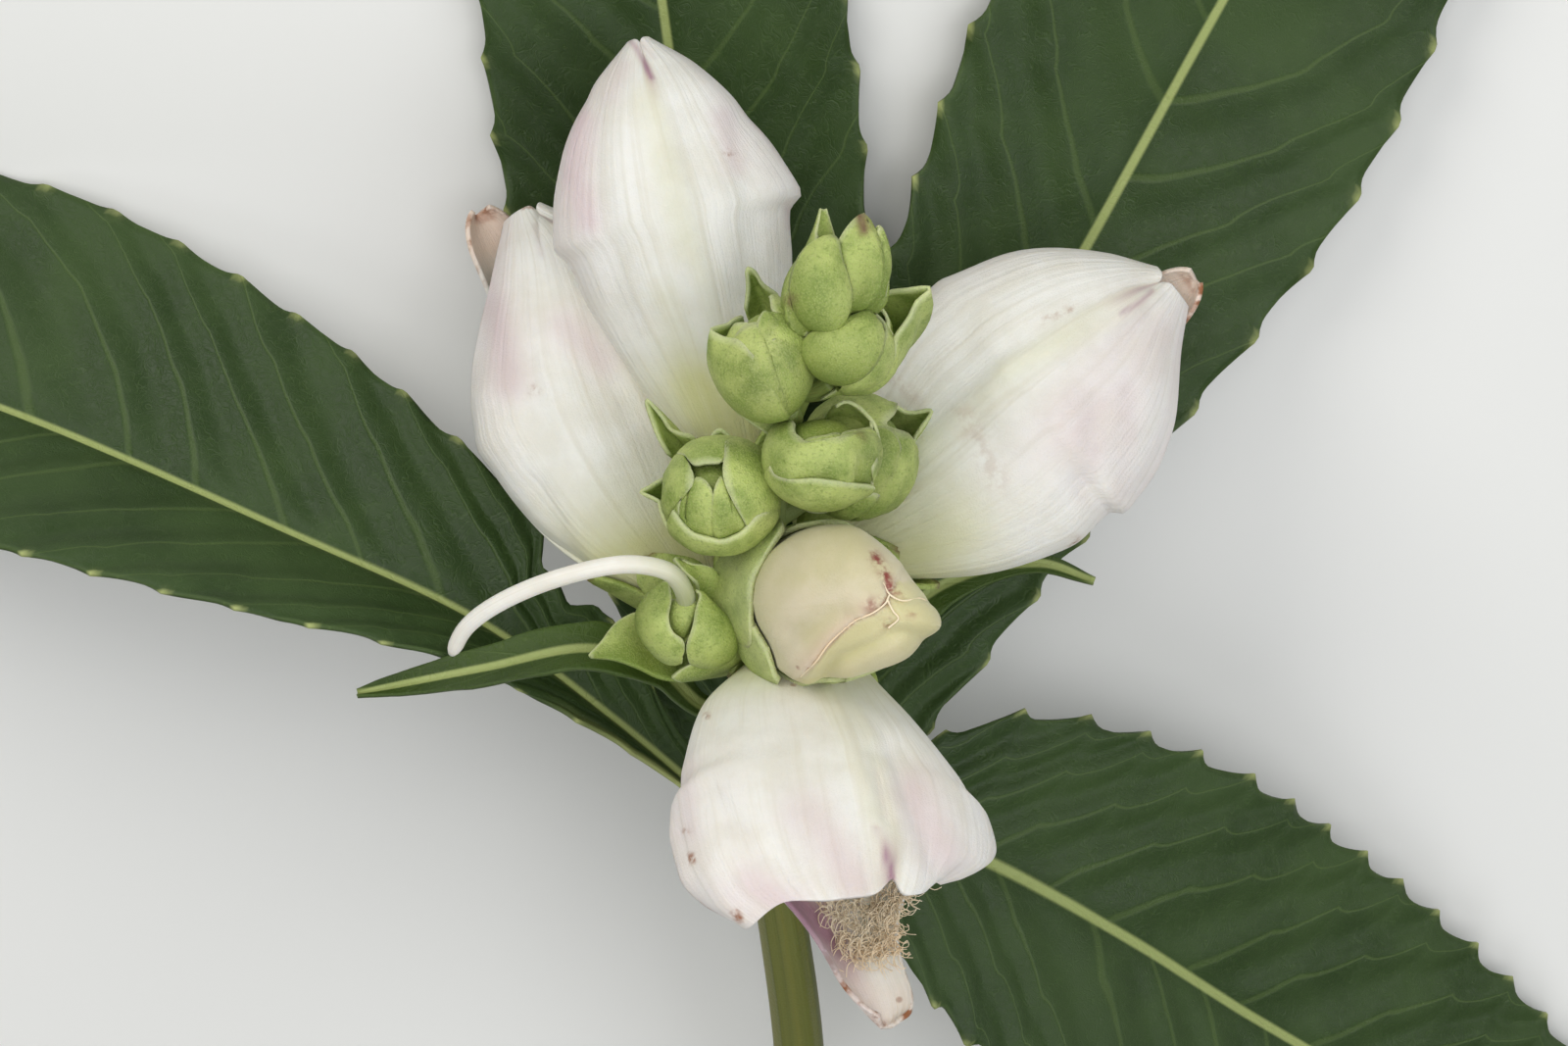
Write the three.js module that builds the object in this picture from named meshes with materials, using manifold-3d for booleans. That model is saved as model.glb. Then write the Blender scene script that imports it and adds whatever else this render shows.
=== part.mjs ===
// A cut flowering stem of turtlehead, lying down: leaves, bracts, buds, calyces and two-lipped corollas.
// Millimetres. The plant is built facing +Z with its tip towards +Y, then tipped back to lie on z = 0.
import * as THREE from "three";
import { ParametricGeometry } from "three/addons/geometries/ParametricGeometry.js";
import { mergeGeometries, mergeVertices } from "three/addons/utils/BufferGeometryUtils.js";
import Module from "manifold-3d";

const wasm = await Module();
wasm.setup();

const tipBack = 23; // degrees that the facing plant is tipped back to lie on the surface
const spikeHeight = 29.52; // height of the spike's foot above the surface
const boxCentre = { x: -8.93, y: -17.99 }; // middle of the lying plant's box, moved to the origin
const eyeHeight = 430; // distance from which the face-on drawing of the buds is seen
const petalThickness = 0.7;
const sepalThickness = 0.65;
const leafThickness = 0.7;
const gap = 0.3; // clearance between pieces that touch
const shortEdge = 0.012; // edges below this length are closed up
const lipSplit = 0.58; // share of a corolla's length where its two lips part
const rimAngle = THREE.MathUtils.degToRad(102); // from the middle of the back to the upper lip's edge

const green = { stem: 0x5d6330, leaf: 0x44542f, bract: 0x4e5f2c, bud: 0x9cab58, calyx: 0x8b9450 };
const pale = { corolla: 0xe9e4da, young: 0xd6d0a6, style: 0xe6e6da };

const vec = (p) => new THREE.Vector3(...p);

// A place of the face-on drawing, seen from eyeHeight above the plant's middle, at a depth z.
const unseen = (x, y, z) => vec([x * (1 - z / eyeHeight), y * (1 - z / eyeHeight), z]);

// A smooth function of one variable through a few [position, value] points.
function profile(points) {
  const slope = points.map((p, i) => {
    const before = points[Math.max(0, i - 1)];
    const after = points[Math.min(points.length - 1, i + 1)];
    return (after[1] - before[1]) / (after[0] - before[0]);
  });
  return (t) => {
    let i = 0;
    while (i < points.length - 2 && t > points[i + 1][0]) i++;
    const [start, from] = points[i];
    const [end, to] = points[i + 1];
    const span = end - start;
    const s = THREE.MathUtils.clamp((t - start) / span, 0, 1);
    const ease = s * s * (3 - 2 * s);
    const bend = slope[i] * s * (1 - s) ** 2 - slope[i + 1] * s * s * (1 - s);
    return from + (to - from) * ease + bend * span;
  };
}

// An open sheet: a grid of columns by rows whose corners pointAt(u, v) gives, u and v from 0 to 1.
function sheetOf(columns, rows, pointAt) {
  return new ParametricGeometry((u, v, target) => target.copy(pointAt(u, v)), columns, rows);
}

// The geometry with its corners at the same place made one, and without its collapsed triangles.
function weld(geometry) {
  const welded = mergeVertices(geometry.deleteAttribute("normal").deleteAttribute("uv"), 1e-3);
  const index = [...welded.index.array];
  const kept = [];
  for (let i = 0; i < index.length; i += 3) {
    const corners = index.slice(i, i + 3);
    if (new Set(corners).size === 3) kept.push(...corners);
  }
  return welded.setIndex(kept);
}

// A closed geometry as a solid that can be joined and cut, and back.
function solid(geometry) {
  const vertProperties = new Float32Array(geometry.getAttribute("position").array);
  const triVerts = new Uint32Array(geometry.index.array);
  return new wasm.Manifold(new wasm.Mesh({ numProp: 3, vertProperties, triVerts }));
}

function geometryOf(made) {
  const mesh = made.getMesh();
  const geometry = new THREE.BufferGeometry();
  geometry.setAttribute("position", new THREE.BufferAttribute(mesh.vertProperties, mesh.numProp));
  const shell = largestShell([...mesh.triVerts], mesh.vertProperties.length / 3);
  geometry.setIndex(withoutShortEdges(shell, geometry.getAttribute("position")));
  geometry.computeVertexNormals();
  return geometry;
}

// The triangles with their shortest edges drawn together, where the surface stays whole by that.
function withoutShortEdges(index, place) {
  const spot = (i) => new THREE.Vector3().fromBufferAttribute(place, i);
  let triangles = index;
  for (;;) {
    const around = new Map();
    for (let i = 0; i < triangles.length; i++) {
      const others = triangles.slice(i - (i % 3), i - (i % 3) + 3);
      if (!around.has(triangles[i])) around.set(triangles[i], new Set());
      others.forEach((corner) => around.get(triangles[i]).add(corner));
    }
    const short = [...around.entries()].flatMap(([a, near]) => [...near].map((b) => [a, b])).find(([a, b]) => {
      if (a >= b || spot(a).distanceTo(spot(b)) > shortEdge) return false;
      return [...around.get(a)].filter((corner) => around.get(b).has(corner)).length === 4;
    });
    if (!short) return triangles;
    const [kept, gone] = short;
    const moved = triangles.map((corner) => (corner === gone ? kept : corner));
    triangles = [];
    for (let i = 0; i < moved.length; i += 3) {
      const corners = moved.slice(i, i + 3);
      if (new Set(corners).size === 3) triangles.push(...corners);
    }
  }
}

// The triangles of the largest connected shell, without the crumbs that cutting can leave.
function largestShell(index, count) {
  const leader = Array.from({ length: count }, (_, i) => i);
  const leaderOf = (i) => {
    while (leader[i] !== i) i = leader[i] = leader[leader[i]];
    return i;
  };
  for (let i = 0; i < index.length; i += 3) {
    leader[leaderOf(index[i + 1])] = leaderOf(index[i]);
    leader[leaderOf(index[i + 2])] = leaderOf(index[i]);
  }
  const shells = new Map();
  for (let i = 0; i < index.length; i += 3) {
    const shell = leaderOf(index[i]);
    if (!shells.has(shell)) shells.set(shell, []);
    shells.get(shell).push(index[i], index[i + 1], index[i + 2]);
  }
  return [...shells.values()].reduce((best, one) => (one.length > best.length ? one : best));
}

// The corners of a geometry moved along their normals by a distance.
function offsetCorners(geometry, distance) {
  const place = geometry.getAttribute("position");
  const normal = geometry.getAttribute("normal");
  return Array.from({ length: place.count }, (_, i) => {
    const out = new THREE.Vector3().fromBufferAttribute(normal, i).multiplyScalar(distance);
    return out.add(new THREE.Vector3().fromBufferAttribute(place, i));
  });
}

// The free edges of a sheet, as pairs of its corners in the order of its triangles.
function rimOf(sheet) {
  const index = [...sheet.index.array];
  const edges = new Map();
  for (let i = 0; i < index.length; i += 3) {
    const [a, b, c] = index.slice(i, i + 3);
    for (const [from, to] of [[a, b], [b, c], [c, a]]) {
      if (!edges.delete(`${to},${from}`)) edges.set(`${from},${to}`, [from, to]);
    }
  }
  return [...edges.values()];
}

// A closed blade of even thickness: the sheet moved half a thickness to each side, with its edges joined.
function blade(sheet, thickness) {
  const middle = weld(sheet);
  middle.computeVertexNormals();
  const front = offsetCorners(middle, thickness / 2);
  const back = offsetCorners(middle, -thickness / 2);
  const count = front.length;
  const index = [...middle.index.array];
  const triangles = [...index, ...index.map((corner) => corner + count).reverse()];
  for (const [from, to] of rimOf(middle)) {
    triangles.push(to, from, from + count, to, from + count, to + count);
  }
  return solid(new THREE.BufferGeometry().setFromPoints([...front, ...back]).setIndex(triangles));
}

// A closed wedge with the sheet as its outer face, that narrows to a point.
function wedge(sheet, point) {
  const face = weld(sheet);
  face.computeVertexNormals();
  const outer = offsetCorners(face, 0);
  const raised = offsetCorners(face, 1);
  const facing = outer.reduce((sum, corner, i) => {
    const normal = raised[i].sub(corner);
    return sum + normal.dot(corner.clone().sub(point));
  }, 0);
  if (facing < 0) face.setIndex([...face.index.array].reverse());
  const triangles = [...face.index.array];
  for (const [from, to] of rimOf(face)) triangles.push(to, from, outer.length);
  return solid(new THREE.BufferGeometry().setFromPoints([...outer, point]).setIndex(triangles));
}

const fuse = (solids) => solids.reduce((all, one) => all.add(one));

// The piece without what lies inside the other or within the gap round it.
function clearOf(piece, other) {
  const wider = geometryOf(other);
  return piece.subtract(solid(wider.setFromPoints(offsetCorners(wider, gap))));
}

// A closed solid along a smooth curve, with its radius given by [share of length, millimetres] points.
function taperedTube(points, radii, sides, rows) {
  const curve = new THREE.CatmullRomCurve3(points.map(vec));
  const radiusAt = profile(radii);
  const frames = curve.computeFrenetFrames(rows - 2);
  const wall = sheetOf(sides, rows, (u, v) => {
    const row = Math.round(v * rows);
    const step = THREE.MathUtils.clamp(row - 1, 0, rows - 2);
    const radius = row > 0 && row < rows ? radiusAt(step / (rows - 2)) : 0;
    const across = frames.normals[step].clone().multiplyScalar(radius * Math.cos(u * 2 * Math.PI));
    const over = frames.binormals[step].clone().multiplyScalar(radius * Math.sin(u * 2 * Math.PI));
    return curve.getPointAt(step / (rows - 2)).add(across).add(over);
  });
  return solid(weld(wall));
}

// A closed egg shape in a piece's own axes.
function egg(place, radius, from, to) {
  const ball = weld(new THREE.SphereGeometry(1, 7, 4));
  const spot = ball.getAttribute("position");
  for (let i = 0; i < spot.count; i++) {
    const along = (from + to) / 2 + ((to - from) / 2) * spot.getY(i);
    spot.setXYZ(i, ...place(radius * spot.getZ(i), radius * spot.getX(i), along));
  }
  return solid(ball);
}

// Axes of a piece that runs from root to tip with its back one way: x across, y out of its back, z along.
function axesOf({ root, tip, back }) {
  const along = vec(tip).sub(vec(root)).normalize();
  const out = vec(back).addScaledVector(along, -vec(back).dot(along)).normalize();
  const across = new THREE.Vector3().crossVectors(out, along);
  const start = vec(root);
  return (x, y, z) => {
    const flat = start.clone().addScaledVector(across, x).addScaledVector(out, y);
    return flat.addScaledVector(along, z);
  };
}

const lengthOf = ({ root, tip }) => vec(tip).distanceTo(vec(root));

// Stem, from the cut end to the top of the spike.
const stemCurve = [
  [3, -95.3, -69.8],
  [2.8, -86.2, -65.8],
  [2.2, -65.2, -51],
  [1.2, -43.1, -33],
  [0, -33, -24],
  [-1.6, -23.1, -16],
  [-2.4, -12.7, -8],
  [-1.3, -2, 0],
  [-0.2, 6.2, 5.4],
  [1.6, 10.8, 8.4],
  [3, 13.6, 11],
];
const stemRadius = [
  [0, 2.3],
  [0.5, 2.1],
  [0.8, 1.6],
  [0.92, 1.1],
  [1, 0.9],
];

// Open corollas: half widths to the left and right and heights of back and belly along their length.
const corollas = {
  top: {
    root: [-2.4, 2.4, -2.6],
    tip: [-11.2, 37.2, -4],
    back: [0.05, 0, 1],
    left: [
      [0, 2], [0.17, 4.8], [0.31, 6.7], [0.46, 8.6], [0.57, 9.3], [0.61, 10.1], [0.8, 7.6],
      [0.92, 4.4], [1, 0.8],
    ],
    right: [
      [0, 2], [0.17, 4.2], [0.31, 5.5], [0.46, 7], [0.57, 7.9], [0.6, 9.1], [0.8, 6.3],
      [0.92, 3.8], [1, 0.8],
    ],
    top: [[0, 1.9], [0.3, 5], [0.6, 7.2], [0.85, 5.2], [1, 1]],
    bottom: [[0, -1.9], [0.3, -4.4], [0.6, -6], [0.85, -5.2], [1, -4]],
    rimBack: [0, 0],
    sepals: 5.5,
    tongue: { reach: 0.95, half: 4.2, aside: 0, drop: -5 },
  },
  left: {
    root: [-6.2, -6.6, -8],
    tip: [-20.2, 24.6, -13.5],
    back: [0.45, 0.2, 0.87],
    left: [
      [0, 2], [0.1, 5.2], [0.21, 8.4], [0.33, 10.4], [0.5, 11.8], [0.57, 11.4], [0.62, 10.9],
      [0.8, 6.6], [0.92, 3.6], [1, 1.4],
    ],
    right: [
      [0, 2], [0.17, 5], [0.31, 6.2], [0.46, 7.2], [0.57, 7.2], [0.61, 7.8], [0.8, 5.8],
      [0.92, 4], [1, 1.4],
    ],
    top: [[0, 1.9], [0.3, 4.8], [0.6, 6], [0.85, 4.6], [1, 1.2]],
    bottom: [[0, -1.9], [0.3, -5.4], [0.6, -6.4], [0.85, -5], [1, -4]],
    rimBack: [0, 0],
    sepals: 5.5,
    tongue: { reach: 1.06, half: 2.6, aside: 2.2, drop: -4.2 },
  },
  right: {
    root: [3.2, -2.6, -5],
    tip: [29.6, 18.6, -4],
    back: [-0.2, 0.2, 1],
    left: [
      [0, 2], [0.17, 5.8], [0.31, 8.6], [0.46, 10.6], [0.57, 11], [0.61, 11], [0.8, 8.6],
      [0.93, 4.6], [1, 1.4],
    ],
    right: [
      [0, 2], [0.17, 6.7], [0.31, 9.6], [0.46, 11.3], [0.57, 11.2], [0.6, 12], [0.8, 8.8],
      [0.93, 4.2], [1, 2],
    ],
    top: [[0, 1.9], [0.3, 5.4], [0.6, 7.6], [0.85, 5.2], [1, 1.2]],
    bottom: [[0, -1.9], [0.3, -5.4], [0.6, -7], [0.85, -5.5], [1, -3.6]],
    rimBack: [0, 0],
    sepals: 5.5,
    tongue: { reach: 1.06, half: 2.3, aside: -0.6, drop: -3 },
  },
  bottom: {
    root: [1.6, -9.2, -4.4],
    tip: [6.2, -30.8, 17.5],
    back: [0.38, 0.2, 0.95],
    left: [
      [0, 2], [0.17, 4.8], [0.31, 7.2], [0.5, 9.8], [0.57, 10.4], [0.62, 11.4], [0.84, 11.2],
      [0.95, 9], [1, 7],
    ],
    right: [
      [0, 2], [0.17, 6.4], [0.31, 10], [0.5, 12.2], [0.57, 12.6], [0.62, 13.4], [0.84, 13.2],
      [0.95, 11.4], [1, 9.4],
    ],
    top: [[0, 1.9], [0.15, 2.8], [0.3, 4.2], [0.6, 6.6], [0.85, 6.2], [1, 4.6]],
    bottom: [[0, -1.9], [0.15, -2.4], [0.3, -4], [0.6, -6.4], [0.85, -6.4], [1, -6]],
    rimBack: [0.03, 0.3],
    sepals: 5,
    tongue: { reach: 0.98, half: 2.9, aside: 5, drop: -9.5 },
  },
};

// The cross-section of a corolla at a share t of its length, by the angle from the middle of its back.
function corollaSection(form) {
  const left = profile(form.left);
  const right = profile(form.right);
  const top = profile(form.top);
  const bottom = profile(form.bottom);
  return (angle, t) => {
    const middle = 0.45 * top(t) + 0.55 * bottom(t) + 0.8;
    const height = Math.cos(angle) >= 0 ? top(t) - middle : middle - bottom(t);
    const half = Math.sin(angle) >= 0 ? left(t) : right(t);
    return [half * Math.sin(angle), middle + height * Math.cos(angle)];
  };
}

// The sheet of one corolla: a tube that parts into an arched upper lip and a tongue-shaped lower lip.
function corollaSheet(form) {
  const place = axesOf(form);
  const length = lengthOf(form);
  const section = corollaSection(form);
  const { reach, half, aside, drop } = form.tongue;
  const rows = 11;
  const splitRow = 6;
  const shareAt = (v, end) => {
    const row = Math.round(v * rows);
    if (row <= splitRow) return (row / splitRow) * lipSplit;
    const s = (row - splitRow) / (rows - splitRow);
    return lipSplit + (0.12 * s + 0.88 * (1 - (1 - s) ** 1.5)) * (end - lipSplit);
  };
  const upper = sheetOf(10, rows, (u, v) => {
    const t = shareAt(v, 1);
    const beyond = Math.max(0, (t - lipSplit) / (1 - lipSplit));
    const back = form.rimBack[u > 0.5 ? 1 : 0] * Math.abs(2 * u - 1) ** 1.2 * beyond ** 2;
    return place(...section((2 * u - 1) * rimAngle, t), length * (t - back));
  });
  const lower = sheetOf(6, rows, (u, v) => {
    const t = shareAt(v, reach);
    const angle = rimAngle + u * 2 * (Math.PI - rimAngle);
    const [x, y] = section(angle, Math.min(t, lipSplit));
    const s = Math.max(0, (t - lipSplit) / (reach - lipSplit));
    const end = Math.sqrt(1 - Math.max(0, (s - 0.75) / 0.26) ** 2);
    const across = Math.cos(u * Math.PI);
    const tongueX = aside * s + half * end * across;
    const tongueY = THREE.MathUtils.lerp(section(Math.PI, lipSplit)[1], drop, s) + 1.3 * across * across;
    const share = 1 - (1 - s) ** 3.5;
    const width = THREE.MathUtils.lerp(x, tongueX, share);
    return place(width, THREE.MathUtils.lerp(y, tongueY, share), length * t);
  });
  return mergeGeometries([upper, lower]);
}

// The calyx of a corolla: five sepals that hold its foot, joined on a small receptacle.
function calyxSolid(form) {
  const place = axesOf(form);
  const length = lengthOf(form);
  const section = corollaSection(form);
  const halfTurn = profile([[0, 32], [0.45, 34.5], [0.75, 27], [1, 5]]);
  const sepals = [0, 1, 2, 3, 4].map((k) =>
    sheetOf(3, 3, (u, v) => {
      const z = (form.sepals + 1.8) * v * (k % 2 ? 1 : 0.9) - 1.8;
      const angle = THREE.MathUtils.degToRad(36 + 72 * k + (2 * u - 1) * halfTurn(v));
      const [x, y] = section(angle, Math.max(z, 0) / length);
      const out = 1 + (gap + sepalThickness / 2 + petalThickness / 2 + 0.1 * (k % 2)) / Math.hypot(x, y);
      const waist = z < 0 ? 1 + 0.22 * z : 1;
      return place(x * out * waist, y * out * waist, z);
    }),
  );
  return fuse([egg(place, 2.5, -3.2, -0.5), ...sepals.map((sheet) => blade(sheet, sepalThickness))]);
}

// A corolla that is still shut: a rounded body with the outline it shows from the front.
const youngCorolla = {
  root: [-1.2, -5.4, 3],
  tip: [10.6, -8, 17],
  middle: [4.5, -6.1],
  depth: 9.6,
  rise: 0.42, // how much nearer its right side is for each millimetre to the right
  half: 5.6,
  square: 0.82, // below 1 the front is flatter and the sides are steeper
  outline: [
    [-2.5, -6.1], [-1.1, -2.4], [1.8, -0.4], [3.8, -0.1], [5.5, -0.3], [7.2, -1.4], [10.1, -4.6],
    [11.9, -7.1], [12, -7.9], [11.6, -8.6], [9.5, -10.2], [6.9, -11.3], [3.1, -12.1], [2.2, -12.5],
    [1.2, -12.2], [-0.4, -11.1], [-1.2, -9.3], [-2.1, -7.7],
  ],
};

// The skin of the young corolla, by the share of its outline and the angle back from its front.
function youngSkin({ root, middle, depth, rise, half, square, outline }) {
  const rim = new THREE.CatmullRomCurve3(outline.map(([x, y]) => vec([x, y, 0])), true);
  const near = 1 - root[2] / eyeHeight;
  const foot = vec([root[0] / near, root[1] / near, 0]);
  return (turn, w) => {
    const behind = THREE.MathUtils.smoothstep(w, Math.PI / 2, Math.PI);
    const start = vec([...middle, 0]);
    const reach = rim.getPointAt(((turn % 1) + 1) % 1).sub(start);
    const seen = start.lerp(foot, behind).addScaledVector(reach, Math.max(0, Math.sin(w)) ** square);
    const z = depth + rise * (seen.x - middle[0]) * (1 - behind) + half * Math.cos(w);
    return unseen(seen.x, seen.y, z);
  };
}

function youngSolid(form) {
  const skin = youngSkin(form);
  const rows = 8;
  return solid(weld(sheetOf(18, rows, (u, v) => skin(u, Math.PI * v))));
}

// The calyx of the young corolla: sepals by their place on the outline and how far forward they come.
const youngSepals = [
  { turn: 0.04, front: 76, bulge: 2.3 },
  { turn: 0.9, front: 80, bulge: 1.5 },
  { turn: 0.25, front: 108, bulge: 0.4 },
  { turn: 0.47, front: 112, bulge: 0.4 },
  { turn: 0.7, front: 108, bulge: 0.4 },
];

function youngCalyx(form) {
  const skin = youngSkin(form);
  const halfTurn = profile([[0, 0.06], [0.5, 0.12], [0.8, 0.1], [1, 0.015]]);
  const sepals = youngSepals.map(({ turn, front, bulge }, k) =>
    sheetOf(3, 3, (u, v) => {
      const w = THREE.MathUtils.degToRad(THREE.MathUtils.lerp(172, front, v));
      const spot = skin(turn - (2 * u - 1) * halfTurn(v), w);
      const out = spot.clone().sub(vec([form.middle[0], form.middle[1], form.depth])).normalize();
      const lift = gap + sepalThickness / 2 + 0.3 + 0.05 * k;
      return spot.addScaledVector(out, lift + bulge * Math.sin(Math.PI * v));
    }),
  );
  const [x, y, z] = form.root;
  const foot = weld(new THREE.SphereGeometry(2.4, 6, 4)).translate(x - 0.5, y, z - 1.6);
  return fuse([solid(foot), ...sepals.map((sheet) => blade(sheet, sepalThickness))]);
}

// The place on a bud's skin, or at its own depth, that shows at a place of the face-on drawing.
function skinSpot({ centre, radii }, seen, lift) {
  const [rx, ry, rz] = radii.map((r) => r + lift);
  let z = seen[2] ?? centre[2] + 0.7 * rz;
  for (let i = 0; i < 4 && seen.length < 3; i++) {
    const near = 1 - z / eyeHeight;
    const out = ((seen[0] * near - centre[0]) / rx) ** 2 + ((seen[1] * near - centre[1]) / ry) ** 2;
    z = centre[2] + rz * Math.sqrt(Math.max(0, 1 - out));
  }
  return unseen(seen[0], seen[1], z);
}

// A sepal or bract: it runs round the bud's body from its base, or the bud's foot, to its free margin.
function sepalSheet(form, { margin, base, lift, bulge }) {
  const centre = vec(form.centre);
  const radii = vec(form.radii.map((r) => r + lift));
  const curveOf = (points) => new THREE.CatmullRomCurve3(points.map((seen) => skinSpot(form, seen, lift)));
  const inBody = (spot) => spot.clone().sub(centre).divide(radii);
  const free = curveOf(margin);
  const held = base && curveOf(base);
  return sheetOf(margin.length > 7 ? 4 : 3, 2, (u, v) => {
    const edge = free.getPointAt(u);
    const end = inBody(edge);
    const start = inBody(held ? held.getPointAt(u) : vec(form.foot).lerp(edge, 0.04));
    const startWay = start.clone().normalize();
    const turn = new THREE.Quaternion().setFromUnitVectors(startWay, end.clone().normalize());
    const way = startWay.applyQuaternion(new THREE.Quaternion().slerp(turn, v));
    const size = THREE.MathUtils.lerp(start.length(), end.length(), v);
    const out = way.clone().divide(radii).normalize();
    const swell = bulge * Math.sin(Math.PI * v) * (1 - (2 * u - 1) ** 4 * (base ? 0.8 : 0.2));
    const spot = way.multiplyScalar(base ? size : Math.max(1, size)).multiply(radii).add(centre);
    return spot.addScaledVector(out, swell);
  });
}

// A bud: sepals and bracts that lap over each other round a smaller core.
function budSolid(form) {
  const ball = weld(new THREE.SphereGeometry(form.core, 8, 6));
  const core = ball.scale(...form.radii).translate(...form.centre);
  const sepals = form.sheets.map((sheet, k) => {
    const open = sepalSheet(form, sheet);
    const within = vec(form.centre).add(vec([0.03 * k, 0.05 * (k % 2), -0.04 * k]));
    return sheet.free ? blade(open, sepalThickness) : wedge(open, within);
  });
  const foot = weld(new THREE.SphereGeometry(form.footSize ?? 1.3, 6, 4)).translate(...form.foot);
  return fuse([solid(core), solid(foot), ...sepals]);
}

// Buds and the spent calyx. Margins and bases are in millimetres on the face-on drawing of the plant, with
// a third number where they stand at a depth of their own.
const buds = {
  bud_tip: {
    centre: [3.6, 17.4, 15.4],
    radii: [2.3, 3.2, 2.2],
    foot: [2.4, 13.7, 12.6],
    core: 0.86,
    sheets: [
      {
        // rear boat, flank
        margin: [
          [2, 14, 13.2], [0.9, 16, 15.3], [0.7, 17.6, 15.8], [1.1, 19, 15.9], [2, 20.1, 15.6],
          [2.5, 21.4, 15.1], [2.6, 22.5, 14.7], [2.9, 24, 14.2],
        ],
        base: [
          [1.9, 13.7, 12.8], [0.5, 15.5, 13.6], [-0.1, 16.5, 14], [0, 18, 14.2], [0.5, 19.3, 14.3],
          [1.5, 20.7, 14.3], [2.3, 22.4, 14.2], [2.8, 24, 14.1],
        ],
        lift: 0,
        bulge: 0,
        free: true,
      },
      {
        // rear boat, inside
        margin: [[4.1, 19, 13.2], [4, 20.8, 13.4], [3.8, 22.1, 13.7], [3.5, 23, 13.9], [3.2, 24, 14.1]],
        base: [[1.5, 19.4, 15.2], [2.3, 21, 14.9], [2.6, 22.5, 14.6], [2.9, 24, 14.2]],
        lift: 0,
        bulge: -0.35,
        free: true,
      },
      {
        // centre
        margin: [
          [4.1, 17, 16], [4.1, 19.4, 16.2], [4.1, 21.4, 16], [5.5, 23.4, 15.7], [6.1, 23.7, 15.6],
          [6.4, 22.9, 15.6], [6.6, 21.7, 15.5], [6.5, 19.4, 15.4], [6.3, 17.1, 15.2],
        ],
        base: [[4.4, 16, 15.8], [5.9, 16.3, 15]],
        lift: 0,
        bulge: 0.45,
      },
      {
        // right
        margin: [
          [6.5, 17.5, 15.3], [6.7, 19.4, 15.6], [6.8, 21, 15.5], [7.3, 22.7, 15.3], [7.5, 22.5, 15.1],
          [7.7, 20.4, 14.7], [7.9, 18.2, 14.3], [7.5, 16.8, 13.9],
        ],
        base: [[5.5, 16.2, 15], [7.1, 16.1, 13.8]],
        lift: 0,
        bulge: 0.4,
      },
      {
        // front
        margin: [
          [1.9, 14.6, 15.2], [0.8, 16.2, 16], [0.6, 17.6, 16.4], [1.1, 19, 16.6], [2, 20.1, 16.6],
          [3.1, 21.3, 16.5], [3.7, 22, 16.2], [4.1, 21.7, 16.4], [4.3, 20.5, 16.8], [4.9, 18.6, 17.1],
          [5.1, 17.5, 17.1], [4.9, 16.4, 16.8], [4.2, 15.6, 16.2],
        ],
        base: [[2, 14.4, 14.8], [2.9, 15, 15.6]],
        lift: 0,
        bulge: 0.85,
      },
    ],
  },
  bud_upper_left: {
    centre: [-1.3, 12.6, 12.6],
    radii: [2.75, 3.75, 3.1],
    foot: [0.2, 8.5, 9.8],
    core: 0.8,
    sheets: [
      {
        // rear bract
        margin: [
          [-3, 16.5, 9.6], [-2.8, 18.1, 10], [-2.8, 19.5, 10.5], [-2.3, 19.3, 10.3], [-1.7, 18.4, 10],
          [-0.5, 17.5, 9.6],
        ],
        lift: 0,
        bulge: 0.1,
        free: true,
      },
      {
        // low bract
        margin: [
          [-4.6, 13.4, 10.6], [-4.7, 11.1, 10.4], [-3.9, 8.8, 9.9], [-2.6, 7.7, 9.4], [-1.2, 6.7, 9],
        ],
        base: [[-2.3, 13.2, 9.6], [-0.3, 7.8, 9]],
        lift: 0,
        bulge: 0,
        free: true,
      },
      {
        // upper left
        margin: [[-3.9, 15], [-2.9, 15.3], [-2.2, 15.2], [-1.6, 16], [-0.8, 16.1], [-1.1, 17.4]],
        lift: 0.12,
        bulge: 0.15,
      },
      {
        // upper right
        margin: [[-1.1, 17.4], [-0.8, 16.1], [0.3, 15.3], [1.2, 14.4], [1.5, 13.7]],
        lift: 0.2,
        bulge: 0.1,
      },
      {
        // front right
        margin: [
          [1, 9.6], [-0.2, 10.2], [-1.5, 12.2], [-1.2, 13], [-0.9, 14.1], [-0.3, 13.8], [1.6, 13.7],
        ],
        base: [[1.1, 9.5], [1.9, 11.3], [1.8, 13.5]],
        lift: 0.42,
        bulge: 0.2,
      },
      {
        // left boat
        margin: [
          [1.2, 9.6, 12.6], [-0.2, 10.1, 14.6], [-1.4, 12, 16], [-2.1, 12.7, 15.9],
          [-3.2, 13.9, 15.2], [-4.7, 14.3, 14.2], [-5.5, 14.8, 13.4], [-5.1, 15, 12.8],
          [-4, 15.2, 11.8], [-2.9, 15.4, 11],
        ],
        lift: 0.55,
        bulge: 0.3,
        free: true,
      },
    ],
  },
  bud_upper_right: {
    centre: [4.7, 13.1, 13.4],
    radii: [2.95, 2.65, 3.2],
    foot: [3.8, 10.6, 10.2],
    core: 0.82,
    sheets: [
      {
        // boat
        margin: [
          [2.8, 9.5, 10], [4.5, 10.5, 11.6], [6.2, 11, 12.8], [7.4, 11.6, 13.4], [7.8, 13.3, 13.8],
          [8.5, 14.3, 13.8], [9.5, 15.7, 13.6], [10.1, 16.9, 13.4], [11.3, 18, 13.4],
          [9.5, 17.9, 12.2], [7.8, 17.6, 11.4], [7.3, 16.4, 10.8],
        ],
        lift: 0.5,
        bulge: 0.85,
        free: true,
      },
      {
        // back
        margin: [[5.7, 16], [6.5, 16.2], [7.3, 16.4], [7.9, 15.7], [8, 14.9], [8.4, 14.2]],
        lift: 0.12,
        bulge: 0.1,
      },
      {
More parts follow.
